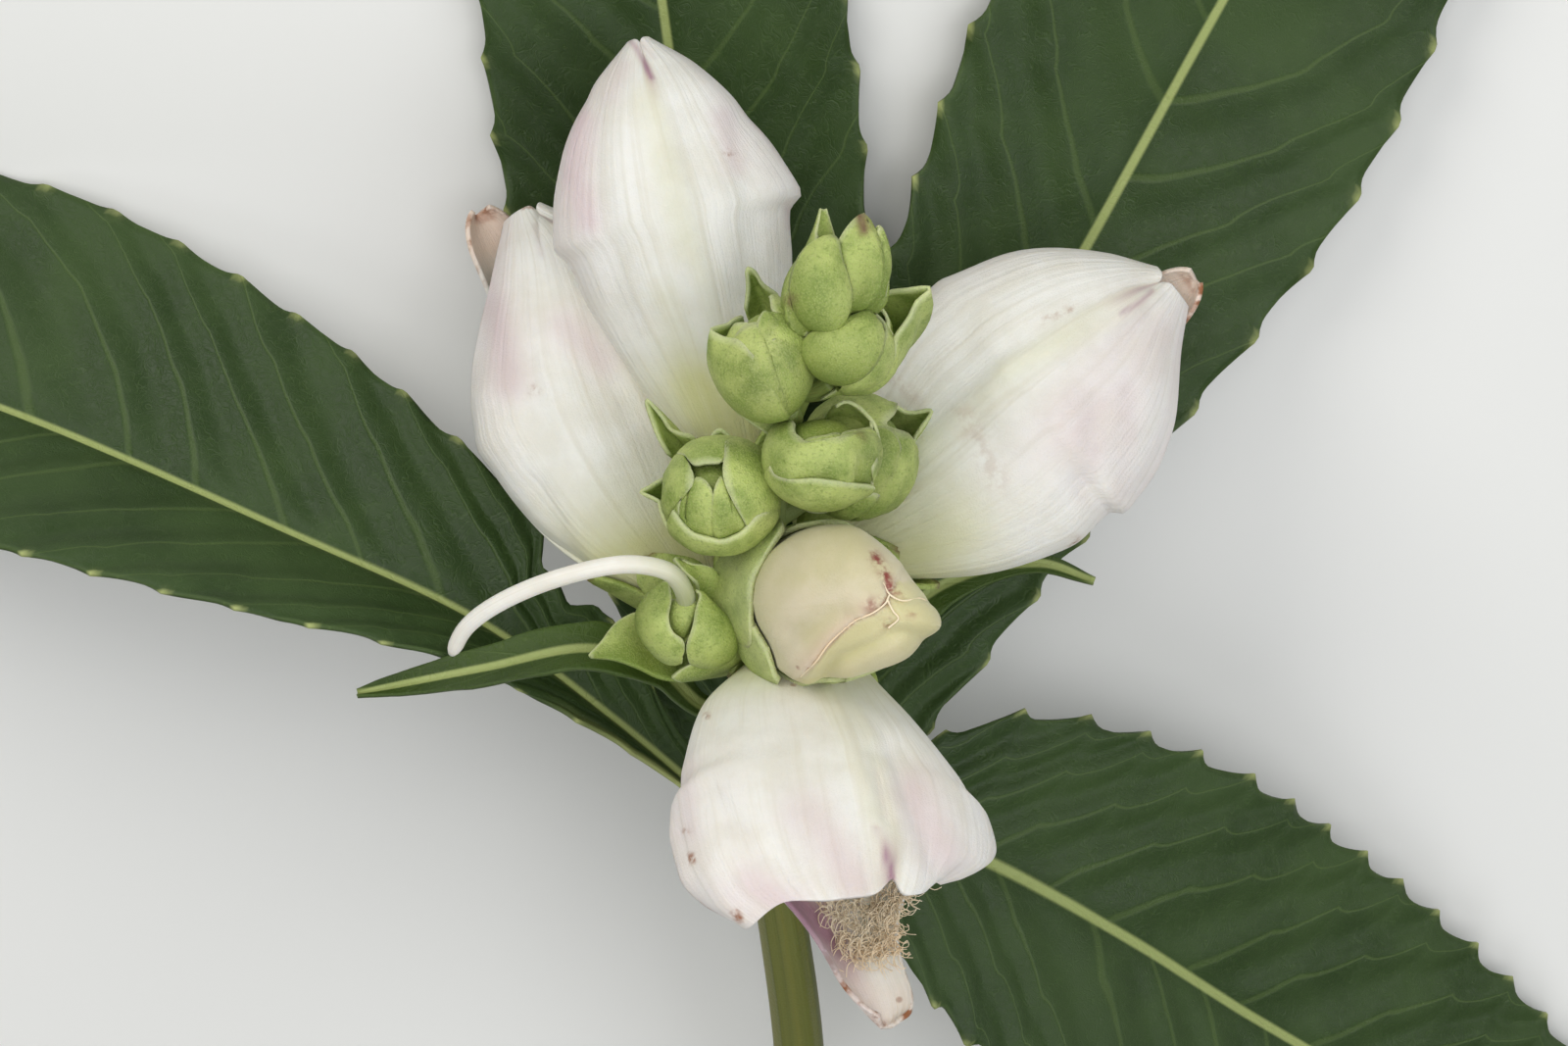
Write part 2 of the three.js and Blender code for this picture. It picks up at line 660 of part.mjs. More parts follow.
        // right
        margin: [[6.9, 16], [7.6, 15.4], [7.5, 14], [6.7, 12.2], [5.5, 11.1], [4.5, 10.6]],
        lift: 0.25,
        bulge: 0.15,
      },
      {
        // front
        margin: [
          [1.7, 12.7], [1.5, 13.5], [1.9, 14.3], [3.2, 15.1], [5.5, 15.9], [6.5, 16.3], [6.9, 15.7],
          [7.4, 15.3], [7.3, 14.3], [6.9, 13.1], [6.3, 11.9],
        ],
        base: [[2, 12.2], [2.7, 11.1], [4.1, 10.6], [5.4, 11]],
        lift: 0.45,
        bulge: 0.45,
      },
    ],
  },
  bud_right: {
    centre: [2.8, 5, 10.4],
    radii: [3.75, 3.2, 4],
    foot: [1.7, 3.4, 6.2],
    core: 0.86,
    sheets: [
      {
        // left
        margin: [[1.1, 2.9], [0.9, 4.8], [1.4, 5.8], [1.6, 6.2], [0.9, 6.9], [0.8, 7.7]],
        lift: 0.27,
        bulge: 0.15,
      },
      {
        // top
        margin: [
          [0.7, 7.8], [0.9, 6.8], [1.7, 6.2], [3.2, 6.4], [4.3, 6.6], [5.3, 6.8], [6.7, 6.9],
          [6.7, 7.8],
        ],
        lift: 0.4,
        bulge: 0.25,
      },
      {
        // rim
        margin: [
          [4, 8.9], [4.7, 9.3], [5.9, 8.7], [6.8, 7.8], [7.2, 6.7], [7, 4.9], [6.7, 4.3], [6.7, 3.5],
          [6.8, 2.8],
        ],
        lift: 0.5,
        bulge: 0.15,
      },
      {
        // collar
        margin: [
          [-1, 4.4], [-0.6, 3.7], [0.4, 3.4], [2.3, 3.4], [3.6, 3.3], [4.8, 3.1], [5.7, 3],
          [6.9, 2.8, 11.6], [6.9, 2.6, 11.2],
        ],
        lift: 0.66,
        bulge: 0.2,
      },
    ],
  },
  bud_far_right: {
    centre: [5.8, 5.2, 4.2],
    radii: [3.85, 4.1, 3.7],
    foot: [2.5, 2.6, 1.2],
    core: 0.86,
    sheets: [
      {
        // bract
        margin: [
          [8.5, 9, 3.4], [9.3, 8.5, 3.2], [10, 8.5, 3.4], [11.3, 8.6, 4], [10.5, 7.3, 3.6],
          [10.1, 6.7, 3.2], [9.8, 4.9, 2.6],
        ],
        lift: 0.1,
        bulge: 0.1,
        free: true,
      },
      {
        // top
        margin: [[3.6, 7.8], [5.2, 7.6], [6.8, 7.6], [7.6, 7.6], [8.5, 8.4], [8.6, 9.1]],
        lift: 0.22,
        bulge: 0.15,
      },
      {
        // crescent
        margin: [[7.2, 7.4], [7.9, 7.2], [8.5, 6.7], [8.9, 5.7], [8.8, 4.7], [8.3, 3.7], [7.4, 2.2]],
        base: [[5.7, 6.4], [5.6, 3.5], [5.9, 2]],
        lift: 0.42,
        bulge: 0.15,
      },
      {
        // low
        margin: [[0.7, 1.7], [2.1, 0.9], [4.1, 1.1], [5.7, 1.9], [6.9, 2.4], [7.4, 2.2], [7.7, 2.6]],
        lift: 0.5,
        bulge: 0.2,
      },
    ],
  },
  bud_left: {
    centre: [-4.9, 2.2, 7.2],
    radii: [4, 3.85, 4.3],
    foot: [-3.5, 1.2, 2.8],
    core: 0.8,
    sheets: [
      {
        // upper bract
        margin: [
          [-8.9, 5.3, 3.6], [-9.6, 6.5, 3.7], [-10.1, 7.7, 3.8], [-10.6, 9.5, 4.4], [-9.4, 8.2, 4.3],
          [-8.7, 7.2, 3.9], [-7, 6.6, 3.6],
        ],
        lift: 0,
        bulge: 0.05,
        free: true,
      },
      {
        // left
        margin: [[-7.6, -0.5], [-8, 1.1], [-7.7, 2.1], [-7, 2.8], [-6.9, 3.6], [-7.2, 4.3], [-8.3, 5]],
        lift: 0.22,
        bulge: 0.15,
      },
      {
        // top
        margin: [
          [-8.1, 5.2], [-7.4, 5], [-6.9, 4.4], [-6.1, 4.5], [-4.8, 4.6], [-4.6, 5.1], [-4.5, 6.5],
        ],
        lift: 0.34,
        bulge: 0.2,
      },
      {
        // right
        margin: [
          [-4.5, 6.6], [-4.6, 5], [-4.7, 4], [-4.5, 2.9], [-4, 1.8], [-3.4, 0.7], [-2.8, -0.1],
          [-1.6, 0.7], [-0.7, 1.1],
        ],
        lift: 0.44,
        bulge: 0.2,
      },
      {
        // collar
        margin: [
          [-8.5, 1], [-7.9, 0.1], [-7, -0.7], [-5.8, -1.1], [-4.8, -1.3], [-3.6, -0.9], [-2.8, -0.2],
          [-2.2, 0.6], [-1.1, 1], [-0.4, 1.2],
        ],
        lift: 0.58,
        bulge: 0.2,
      },
      {
        // left boat
        margin: [
          [-9.2, 3.4, 5.2], [-10.5, 2.7, 5.6], [-11, 2.4, 5.8], [-10.2, 2, 6.2], [-9.5, 1.6, 6.8],
          [-8.7, 0.9, 7], [-7.8, -0.2, 7.2], [-6.6, -1.2, 7.4],
        ],
        lift: 0.6,
        bulge: 0.25,
        free: true,
      },
    ],
  },
  calyx_spent: {
    centre: [-7.5, -7.7, 3],
    radii: [3.1, 2.75, 3.2],
    foot: [-7, -11.1, 0],
    core: 0.62,
    footSize: 2.2,
    sheets: [
      {
        // bract, inside
        margin: [
          [-6.6, -9.8, 0.6], [-8.5, -7.8, 0.2], [-11, -6.8, 0.6], [-12.6, -7.4, 1.2],
          [-13.3, -8.1, 1.6], [-14, -9.1, 2.2], [-15, -10.2, 3.2],
        ],
        base: [
          [-6.7, -11.9, 2], [-7.6, -12.1, 2.2], [-9.4, -11.9, 2.4], [-11.2, -11.1, 2.8],
          [-13, -10.5, 3.2], [-14.8, -10.3, 3.4],
        ],
        lift: 0,
        bulge: -0.4,
        free: true,
      },
      {
        // bract, rim
        margin: [
          [-3.5, -8.8, 2.4], [-3.8, -9.9, 3], [-4.4, -10.5, 3.4], [-5.5, -10.4, 3.8],
          [-6.3, -10.3, 4], [-7.1, -10.7, 4], [-7.8, -11.1, 3.8], [-8.6, -11.8, 3.2],
        ],
        base: [[-2.7, -10.1, 0.8], [-3.9, -10.9, 1.2], [-5.8, -11.8, 1.8], [-7.9, -12.1, 2.4]],
        lift: 0,
        bulge: 0.1,
        free: true,
      },
      {
        // left
        margin: [
          [-7.7, -10.1], [-7.7, -9], [-8.5, -8.3], [-8.8, -7.3], [-8.6, -5.8], [-8.7, -4.7, 5.6],
          [-8.8, -4.4, 5.6],
        ],
        base: [
          [-7.9, -10.2, 2], [-8.8, -9.8, 1.4], [-9.8, -8.9, 1.8], [-10.7, -8, 2], [-11, -7.1, 2.4],
          [-10.9, -6.3, 3.2], [-10.4, -5.5, 4], [-9.4, -4.8, 5],
        ],
        lift: 0.3,
        bulge: 0.45,
      },
      {
        // right
        margin: [
          [-7.4, -10], [-7.4, -9.2], [-7, -7.9], [-6.7, -6.3], [-6.5, -5.5, 5.8], [-6.8, -5.2, 5.8],
        ],
        base: [
          [-7, -10.4, 2.2], [-5.8, -10.2, 1.4], [-4.8, -10.2, 1.4], [-4, -9.7, 1.6], [-3.9, -8.8, 2],
          [-4.5, -7.8, 2.8], [-5.6, -6.7, 4], [-6.2, -5.6, 5],
        ],
        lift: 0.35,
        bulge: 0.55,
      },
      {
        // torn fold
        margin: [
          [-6.7, -4.6, 5], [-7.6, -3.8, 5.4], [-8.5, -2.7, 5.4], [-7, -3.1, 4.8], [-5.8, -3.3, 4.2],
          [-5.2, -3.8, 3.6], [-4.4, -5.6, 2.8], [-3.9, -7.4, 2],
        ],
        base: [[-6.6, -5.6, 3.6], [-5.9, -6.3, 3], [-4.8, -7.8, 2]],
        lift: 0,
        bulge: 0.15,
      },
    ],
  },
};

const styleCurve = [
  [-7.3, -7.8, 2.2],
  [-7.6, -5, 6.4],
  [-8.8, -3.6, 8.6],
  [-11.8, -3.1, 9.4],
  [-16.8, -4.1, 9.4],
  [-21.4, -6, 7.8],
  [-24, -7.9, 5.8],
  [-25.2, -9.9, 4],
];
const styleRadius = [[0, 0.75], [0.5, 0.68], [0.97, 0.6], [1, 0.3]];

// The neighbours that each bud gives way to.
const clearedOf = {
  bud_tip: [],
  bud_upper_right: ["bud_tip"],
  bud_right: [],
  bud_upper_left: ["bud_tip", "bud_upper_right", "bud_right"],
  bud_far_right: ["bud_right", "corolla_right"],
  bud_left: [],
  calyx_spent: [],
};

// Leaves: the run of the midrib from stem to tip, the half widths along it, and how the blade is held.
const leaves = {
  leaf_left: {
    run: [
      [-2.4, -25.4, -17.6], [-13.6, -15.6, -14.4], [-23.8, -8, -12.4], [-38.8, -0.9, -12],
      [-62.4, 9.2, -13.6], [-82, 15, -16], [-102, 18, -23.2],
    ],
    face: [0.05, 0.4, 0.91],
    half: [
      [0, 0.9], [0.06, 1.6], [0.18, 6], [0.25, 9.5], [0.4, 15], [0.6, 18.4], [0.72, 17.4],
      [0.88, 8.5], [0.96, 3], [1, 0.5],
    ],
    fold: [[60, 26], [12, 8]],
    teeth: 21,
    toothDepth: 0.45,
    bites: [{ side: -1, from: 0.19, to: 0.25, depth: 2.4 }],
  },
  leaf_right: {
    run: [
      [-1, -24, -17], [6.3, -23.6, -18.6], [15.4, -26.8, -22], [27.6, -33.6, -28],
      [39.4, -41.3, -36.2], [62, -54.5, -48.7], [84, -67, -59.7],
    ],
    face: [0.3, 0.05, 0.96],
    half: [
      [0, 0.9], [0.06, 1.6], [0.14, 10.6], [0.28, 15.2], [0.45, 16], [0.65, 13], [0.85, 6.5],
      [0.95, 2.6], [1, 0.5],
    ],
    fold: [[12, 12], [12, 12]],
    teeth: 22,
    toothDepth: 1.1,
    bites: [],
  },
  leaf_back: {
    run: [
      [-0.4, -33, -24.4], [-3.6, -14, -24.6], [-5.4, 4, -23.2], [-7.9, 28, -18.2],
      [-9.6, 41, -13.2], [-12.6, 62, -5], [-15.8, 84, 4.3],
    ],
    face: [0, -0.3, 0.95],
    half: [
      [0, 0.9], [0.06, 1.6], [0.2, 8], [0.4, 13], [0.58, 14.4], [0.78, 11.5], [0.93, 4.2],
      [1, 0.5],
    ],
    fold: [[8, 8], [8, 8]],
    teeth: 19,
    toothDepth: 0.6,
    bites: [],
  },
  leaf_back_right: {
    run: [
      [0.4, -32, -23.6], [6, -14, -20.4], [12, 1.1, -19.4], [23.8, 21.5, -18.4],
      [34.6, 41.2, -12.6], [46, 61, -5.3], [57, 81, 3.1],
    ],
    face: [0, -0.25, 0.95],
    half: [
      [0, 0.9], [0.06, 1.6], [0.2, 8.4], [0.4, 13.6], [0.58, 16.6], [0.78, 13], [0.93, 5],
      [1, 0.5],
    ],
    fold: [[10, 10], [10, 10]],
    teeth: 19,
    toothDepth: 0.8,
    bites: [],
  },
  bract_leaf_left: {
    run: [
      [-2.6, -15.5, -9.5], [-6.5, -14.2, -6.4], [-9.8, -11.2, -3.4], [-15, -9.7, -1.4],
      [-23, -11.2, -1.6], [-32.9, -13.2, -4],
    ],
    face: [0, 0.5, 0.85],
    half: [[0, 0.9], [0.2, 1.2], [0.4, 2.1], [0.6, 1.9], [0.8, 1.4], [0.93, 0.8], [1, 0.35]],
    fold: [[14, 14], [14, 14]],
    teeth: 6,
    toothDepth: 0.25,
    bites: [],
  },
  bract_leaf_right: {
    run: [
      [-1.6, -13.8, -9.4], [5, -10.4, -13], [13.2, -4.6, -14.5], [20.2, -3.2, -14],
      [24.5, -4.6, -13.6],
    ],
    face: [0, 0.2, 0.95],
    half: [[0, 0.9], [0.2, 1.4], [0.5, 2], [0.75, 1], [0.92, 0.6], [1, 0.3]],
    fold: [[10, 10], [10, 10]],
    teeth: 5,
    toothDepth: 0.25,
    bites: [],
  },
};

// A leaf's sheet: two half blades raised from the midrib, with forward-pointing teeth along the edges.
function leafSheet({ run, face, half, fold, teeth, toothDepth, bites }) {
  const curve = new THREE.CatmullRomCurve3(run.map(vec));
  const halfAt = profile(half);
  const rows = teeth * 2;
  return sheetOf(4, rows, (u, v) => {
    const row = Math.round(v * rows);
    const odd = row % 2;
    const t = Math.min(1, (row + 0.55 * odd) / rows);
    const along = curve.getTangentAt(t);
    const side = new THREE.Vector3().crossVectors(vec(face), along).normalize();
    const up = new THREE.Vector3().crossVectors(along, side).normalize();
    const share = 2 * u - 1;
    const bitten = bites.filter((b) => b.side * share > 0 && t > b.from && t < b.to);
    const bite = bitten.reduce((sum, b) => sum + b.depth, 0);
    const width = halfAt(t) - bite;
    const outer = Math.abs(share) > 0.9 ? Math.sign(share) : 0;
    const tooth = outer * odd * toothDepth * Math.min(1, width / 4);
    const x = share * width + tooth;
    const [near, far] = fold[share > 0 ? 0 : 1];
    const tilt = THREE.MathUtils.degToRad(near + (far - near) * t);
    const lift = Math.abs(x) * Math.sin(tilt) - x * x * 0.018 * Math.sin(tilt);
    return curve.getPointAt(t).addScaledVector(side, x * Math.cos(tilt)).addScaledVector(up, lift);
  });
}

// The stem with a short stalk from its nearest point to the foot of each flower.
function stemSolid(flowers) {
  const nearby = new THREE.CatmullRomCurve3(stemCurve.map(vec)).getPoints(80);
  const stalks = flowers.map(({ root, tip, foot = 3.5 }) => {
    const along = vec(tip).sub(vec(root)).normalize();
    const end = vec(root).addScaledVector(along, -foot);
    const below = end.clone().addScaledVector(along, -2.5);
    const start = nearby.reduce((best, p) => (p.distanceTo(below) < best.distanceTo(below) ? p : best));
    const bend = start.clone().lerp(end, 0.6).addScaledVector(along, -0.4);
    return taperedTube([[...start], [...bend], [...end]], [[0, 1.1], [1, 0.8]], 5, 4);
  });
  return fuse([taperedTube(stemCurve, stemRadius, 8, 20), ...stalks]);
}

const solids = {};
const budStalks = Object.entries(buds).filter(([name]) => name !== "bud_tip");
solids.stem = stemSolid([
  ...Object.values(corollas),
  youngCorolla,
  ...budStalks.map(([, { foot, centre }]) => ({ root: foot, tip: centre, foot: 0 })),
]);
for (const [name, form] of Object.entries(leaves)) {
  solids[name] = clearOf(blade(leafSheet(form), leafThickness), solids.stem);
}
for (const [name, form] of Object.entries(corollas)) {
  solids[`corolla_${name}`] = blade(corollaSheet(form), petalThickness);
  solids[`calyx_${name}`] = clearOf(calyxSolid(form), solids.stem);
}
solids.young_corolla = youngSolid(youngCorolla);
for (const [name, neighbours] of Object.entries(clearedOf)) {
  const others = ["stem", ...neighbours].map((other) => solids[other]);
  solids[name] = others.reduce((piece, other) => clearOf(piece, other), budSolid(buds[name]));
}
solids.calyx_young = ["stem", "corolla_bottom", "bud_left", "calyx_spent"].reduce(
  (piece, other) => clearOf(piece, solids[other]),
  youngCalyx(youngCorolla),
);
solids.style = clearOf(taperedTube(styleCurve, styleRadius, 6, 14), solids.calyx_spent);

const plant = new THREE.Group();
plant.rotation.x = -THREE.MathUtils.degToRad(tipBack);
plant.position.set(-boxCentre.x, -boxCentre.y, spikeHeight);
for (const [name, piece] of Object.entries(solids)) {
  const kind = name.split("_")[0];
  const color = green[kind] ?? pale[kind];
  const material = new THREE.MeshStandardMaterial({ color, roughness: 0.6 });
  const mesh = new THREE.Mesh(geometryOf(piece), material);
  mesh.name = name;
  plant.add(mesh);
}

const turtlehead = new THREE.Group();
turtlehead.add(plant);

export default turtlehead;
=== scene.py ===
import bisect
import math
import random

import bmesh
import bpy
from mathutils import Matrix, Vector, noise


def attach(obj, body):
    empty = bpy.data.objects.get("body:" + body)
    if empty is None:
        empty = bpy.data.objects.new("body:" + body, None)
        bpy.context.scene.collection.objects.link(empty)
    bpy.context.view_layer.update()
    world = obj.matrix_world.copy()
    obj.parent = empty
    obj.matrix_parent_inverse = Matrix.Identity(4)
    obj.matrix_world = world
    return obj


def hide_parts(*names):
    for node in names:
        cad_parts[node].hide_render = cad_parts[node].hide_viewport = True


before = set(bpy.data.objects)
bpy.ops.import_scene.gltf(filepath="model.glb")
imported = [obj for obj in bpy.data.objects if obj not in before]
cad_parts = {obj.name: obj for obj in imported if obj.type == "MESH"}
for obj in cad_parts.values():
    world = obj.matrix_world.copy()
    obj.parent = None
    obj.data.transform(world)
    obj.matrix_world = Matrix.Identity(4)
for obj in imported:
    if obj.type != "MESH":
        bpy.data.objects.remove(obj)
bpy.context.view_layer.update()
print("frame loaded:", len(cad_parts), "nodes")

# Where the plant lies. Its own axes are x right, y towards its tip and z out of its face, in millimetres.
layOut = {
    "tipBack": 23.0,  # degrees that the facing plant is tipped back
    "spikeHeight": 29.52,
    "boxCentre": (-8.93, -17.99),
}
lean = math.radians(layOut["tipBack"])
eyeHeight = 430.0  # of the camera over the plant's middle plane


def toWorld(point):
    x, y, z = point
    deep = y * math.cos(lean) + z * math.sin(lean) - layOut["boxCentre"][1]
    high = -y * math.sin(lean) + z * math.cos(lean) + layOut["spikeHeight"]
    return Vector((x - layOut["boxCentre"][0], deep, high)) * 0.001


def mix(a, b, share):
    return a + (b - a) * share


def clamp(value):
    return max(0.0, min(1.0, value))


def ramp(value, low, high):  # smooth step from 0 at low to 1 at high
    s = clamp((value - low) / (high - low))
    return s * s * (3 - 2 * s)


def bell(value, width):  # 1 at 0, falling smoothly to both sides
    return math.exp(-(value / width) ** 2)


def profile(points):  # smooth function through a few (position, value) points
    last = len(points) - 1
    slopes = []
    for i in range(last + 1):
        before, after = points[max(0, i - 1)], points[min(last, i + 1)]
        slopes.append((after[1] - before[1]) / (after[0] - before[0]))

    def valueAt(t):
        i = 0
        while i < last - 1 and t > points[i + 1][0]:
            i += 1
        (start, low), (end, high) = points[i], points[i + 1]
        span = end - start
        s = clamp((t - start) / span)
        bend = slopes[i] * s * (1 - s) ** 2 - slopes[i + 1] * s * s * (1 - s)
        return low + (high - low) * s * s * (3 - 2 * s) + bend * span

    return valueAt


class SmoothCurve:  # passes through its points, read by share of its length
    steps = 40  # spots from one point to the next

    def __init__(self, points):
        knots = [Vector(p) for p in points]
        knots = [knots[0] * 2 - knots[1]] + knots + [knots[-1] * 2 - knots[-2]]
        self.spots = []
        for i in range(1, len(knots) - 2):
            a, b, c, d = knots[i - 1:i + 3]
            first, second, third = (b - a).length ** 0.5, (c - b).length ** 0.5, (d - c).length ** 0.5
            leave = ((b - a) / first - (c - a) / (first + second) + (c - b) / second) * second
            arrive = ((c - b) / second - (d - b) / (second + third) + (d - c) / third) * second
            for k in range(self.steps):
                s = k / self.steps
                self.spots.append(
                    b * (2 * s ** 3 - 3 * s * s + 1) + leave * (s ** 3 - 2 * s * s + s)
                    + c * (3 * s * s - 2 * s ** 3) + arrive * (s ** 3 - s * s)
                )
        self.spots.append(knots[-2])
        self.reach = [0.0]
        for a, b in zip(self.spots, self.spots[1:]):
            self.reach.append(self.reach[-1] + (b - a).length)
        self.length = self.reach[-1]

    def at(self, share):
        target = clamp(share) * self.length
        i = min(max(bisect.bisect_right(self.reach, target) - 1, 0), len(self.spots) - 2)
        part = (target - self.reach[i]) / max(1e-9, self.reach[i + 1] - self.reach[i])
        return self.spots[i].lerp(self.spots[i + 1], part)

    def along(self, share, near=0.004):
        return (self.at(share + near) - self.at(share - near)).normalized()


def seenAt(spot):  # where a plant point shows from the front, in millimetres at the plant's middle
    near = eyeHeight / (eyeHeight - spot[2])
    return Vector((spot[0] * near, spot[1] * near))


def fromLine(point, line):  # distance to a line of points, and on which side of it
    best, sideOf = 1e9, 1.0
    for a, b in zip(line, line[1:]):
        a, b = Vector(a), Vector(b)
        run = b - a
        share = clamp((point - a).dot(run) / run.length_squared)
        gap = point - (a + run * share)
        if gap.length < best:
            best = gap.length
            sideOf = 1.0 if run.x * gap.y - run.y * gap.x > 0 else -1.0
    return best, sideOf


def lineBell(point, line, width):
    return bell(fromLine(point, line)[0], width)


def axesOf(form):  # x across, y out of the back, z from root to tip
    root = Vector(form["root"])
    along = (Vector(form["tip"]) - root).normalized()
    out = Vector(form["back"])
    out = (out - along * out.dot(along)).normalized()
    across = out.cross(along)
    return lambda x, y, z: root + across * x + out * y + along * z


def lengthOf(form):
    return (Vector(form["tip"]) - Vector(form["root"])).length


# Meshes: a piece starts from grids, each bent into a sheet, then gets its thickness.
maskNames = ("blush", "green", "stain", "violet", "peach")


def newSheets():
    bm = bmesh.new()
    bm.loops.layers.uv.new("flat")
    for name in maskNames:
        bm.verts.layers.float.new(name)
    return bm


def addSheet(bm, columns, rows, pointAt, masksAt=None, uShift=0.0):
    made = bmesh.ops.create_grid(bm, x_segments=columns, y_segments=rows, size=0.5)
    flat = bm.loops.layers.uv["flat"]
    layers = [bm.verts.layers.float[name] for name in maskNames]
    for vert in made["verts"]:
        u, v = vert.co.x + 0.5, vert.co.y + 0.5
        for loop in vert.link_loops:
            loop[flat].uv = (u + uShift, v)
        spot = pointAt(u, v)
        if masksAt:
            for layer, value in zip(layers, masksAt(u, v, spot)):
                vert[layer] = value
        vert.co = toWorld(spot)


def addTube(bm, curve, radiusAt, sides, rows, shapeAt=None, masksAt=None):  # closed tube along a curve
    side = curve.along(0).orthogonal().normalized()
    frames = []
    for row in range(rows + 1):
        t = row / rows
        along = curve.along(t)
        side = (side - along * side.dot(along)).normalized()
        frames.append((curve.at(t), side.copy(), along.cross(side)))

    def pointAt(u, v):
        ring = round(v * (rows + 2))
        row = min(max(ring - 1, 0), rows)
        centre, across, over = frames[row]
        size = radiusAt(row / rows) if 0 < ring < rows + 2 else 0.0
        turn = u * 2 * math.pi
        if shapeAt:
            size *= shapeAt(turn, row / rows)
        return centre + across * size * math.cos(turn) + over * size * math.sin(turn)

    addSheet(bm, sides, rows + 2, pointAt, masksAt)


def addBall(bm, sides, rings, spotAt):  # closed ball, each point of the unit ball taken to its place
    made = bmesh.ops.create_uvsphere(bm, u_segments=sides, v_segments=rings, radius=1.0)
    for vert in made["verts"]:
        vert.co = toWorld(spotAt(vert.co))


def faceOut(bm):
    bmesh.ops.recalc_face_normals(bm, faces=bm.faces[:])


def closeSeams(bm):  # joins points closer than two thousandths of a millimetre
    bmesh.ops.remove_doubles(bm, verts=bm.verts[:], dist=2e-6)
    bmesh.ops.dissolve_degenerate(bm, edges=bm.edges[:], dist=2e-6)
    faceOut(bm)


def takeMesh(bm, name):
    mesh = bpy.data.meshes.new(name)
    bm.to_mesh(mesh)
    bm.free()
    return mesh


def addObject(name, data):
    made = bpy.data.objects.new(name, data)
    bpy.context.scene.collection.objects.link(made)
    return made


def thicken(bm, thickness):  # each open sheet becomes a closed blade, its thickness to both sides
    mesh = takeMesh(bm, "sheets")
    holder = addObject("sheets", mesh)
    wall = holder.modifiers.new("wall", "SOLIDIFY")
    wall.thickness = thickness * 0.001
    wall.offset = 0.0
    ready = holder.evaluated_get(bpy.context.evaluated_depsgraph_get())
    made = bpy.data.meshes.new_from_object(ready)
    out = bmesh.new()
    out.from_mesh(made)
    bpy.data.objects.remove(holder)
    bpy.data.meshes.remove(mesh)
    bpy.data.meshes.remove(made)
    return out


def finishPiece(bm, name, nodes, material):
    for face in bm.faces:
        face.smooth = True
    mesh = takeMesh(bm, name)
    piece = addObject(name, mesh)
    mesh.materials.append(material)
    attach(piece, "root")
    if nodes:
        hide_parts(*nodes)


# Materials: a few skins, each a function with a dictionary of its looks.


def srgb(red, green, blue):  # a seen colour of 0 to 255 as linear light
    shares = [c / 255 for c in (red, green, blue)]
    return (*(c / 12.92 if c <= 0.04045 else ((c + 0.055) / 1.055) ** 2.4 for c in shares), 1.0)


class NodeDesk:  # short ways to place and wire shader nodes in one tree
    def __init__(self, tree):
        self.tree = tree
        self.nodes = tree.nodes

    def put(self, socket, value):
        if isinstance(value, bpy.types.NodeSocket):
            self.tree.links.new(value, socket)
        elif value is not None:
            socket.default_value = value

    def add(self, kind, values=None, **settings):
        made = self.nodes.new(kind)
        for key, value in settings.items():
            setattr(made, key, value)
        for key, value in (values or {}).items():
            self.put(made.inputs[key], value)
        return made

    def group(self, group, **values):
        made = self.add("ShaderNodeGroup", node_tree=group)
        for key, value in values.items():
            self.put(made.inputs[key.replace("_", " ")], value)
        return made.outputs

    def math(self, operation, *values):
        return self.add("ShaderNodeMath", dict(enumerate(values)), operation=operation).outputs[0]

    def times(self, first, second):
        return self.math("MULTIPLY", first, second)

    def vectors(self, operation, *values):
        return self.add("ShaderNodeVectorMath", dict(enumerate(values)), operation=operation).outputs[0]

    def combine(self, x, y, z):
        return self.add("ShaderNodeCombineXYZ", {"X": x, "Y": y, "Z": z}).outputs[0]

    def span(self, value, low, high, start=0.0, end=1.0):  # smooth step of a value
        given = {"Value": value, "From Min": low, "From Max": high, "To Min": start, "To Max": end}
        return self.add("ShaderNodeMapRange", given, interpolation_type="SMOOTHSTEP").outputs["Result"]

    def blend(self, share, first, second):
        return self.add("ShaderNodeMix", {0: share, 6: first, 7: second}, data_type="RGBA").outputs[2]

    def noise(self, vector, scale, detail=3.0, rough=0.5, warp=0.0):
        given = {"Vector": vector, "Scale": scale, "Detail": detail, "Roughness": rough, "Distortion": warp}
        return self.add("ShaderNodeTexNoise", given).outputs["Fac"]

    def cells(self, vector, scale, feature="F1"):
        given = {"Vector": vector, "Scale": scale}
        return self.add("ShaderNodeTexVoronoi", given, feature=feature).outputs["Distance"]

    def bump(self, strength, distance, height, normal=None):
        given = {"Strength": strength, "Distance": distance, "Height": height, "Normal": normal}
        return self.add("ShaderNodeBump", given).outputs["Normal"]

    def mask(self, name):
        return self.add("ShaderNodeAttribute", attribute_name=name).outputs["Fac"]

    def place(self):
        return self.add("ShaderNodeTexCoord").outputs["Object"]

    def flat(self):
        return self.add("ShaderNodeUVMap", uv_map="flat").outputs[0]

    def flatParts(self):
        return self.add("ShaderNodeSeparateXYZ", {0: self.flat()}).outputs


def newGroup(name, inputs, outputs):
    group = bpy.data.node_groups.new(name, "ShaderNodeTree")
    for title, value in inputs.items():
        group.interface.new_socket(title, in_out="INPUT", socket_type="NodeSocketFloat").default_value = value
    for title, kind in outputs.items():
        group.interface.new_socket(title, in_out="OUTPUT", socket_type="NodeSocket" + kind)
    desk = NodeDesk(group)
    return group, desk, desk.add("NodeGroupInput").outputs, desk.add("NodeGroupOutput").inputs


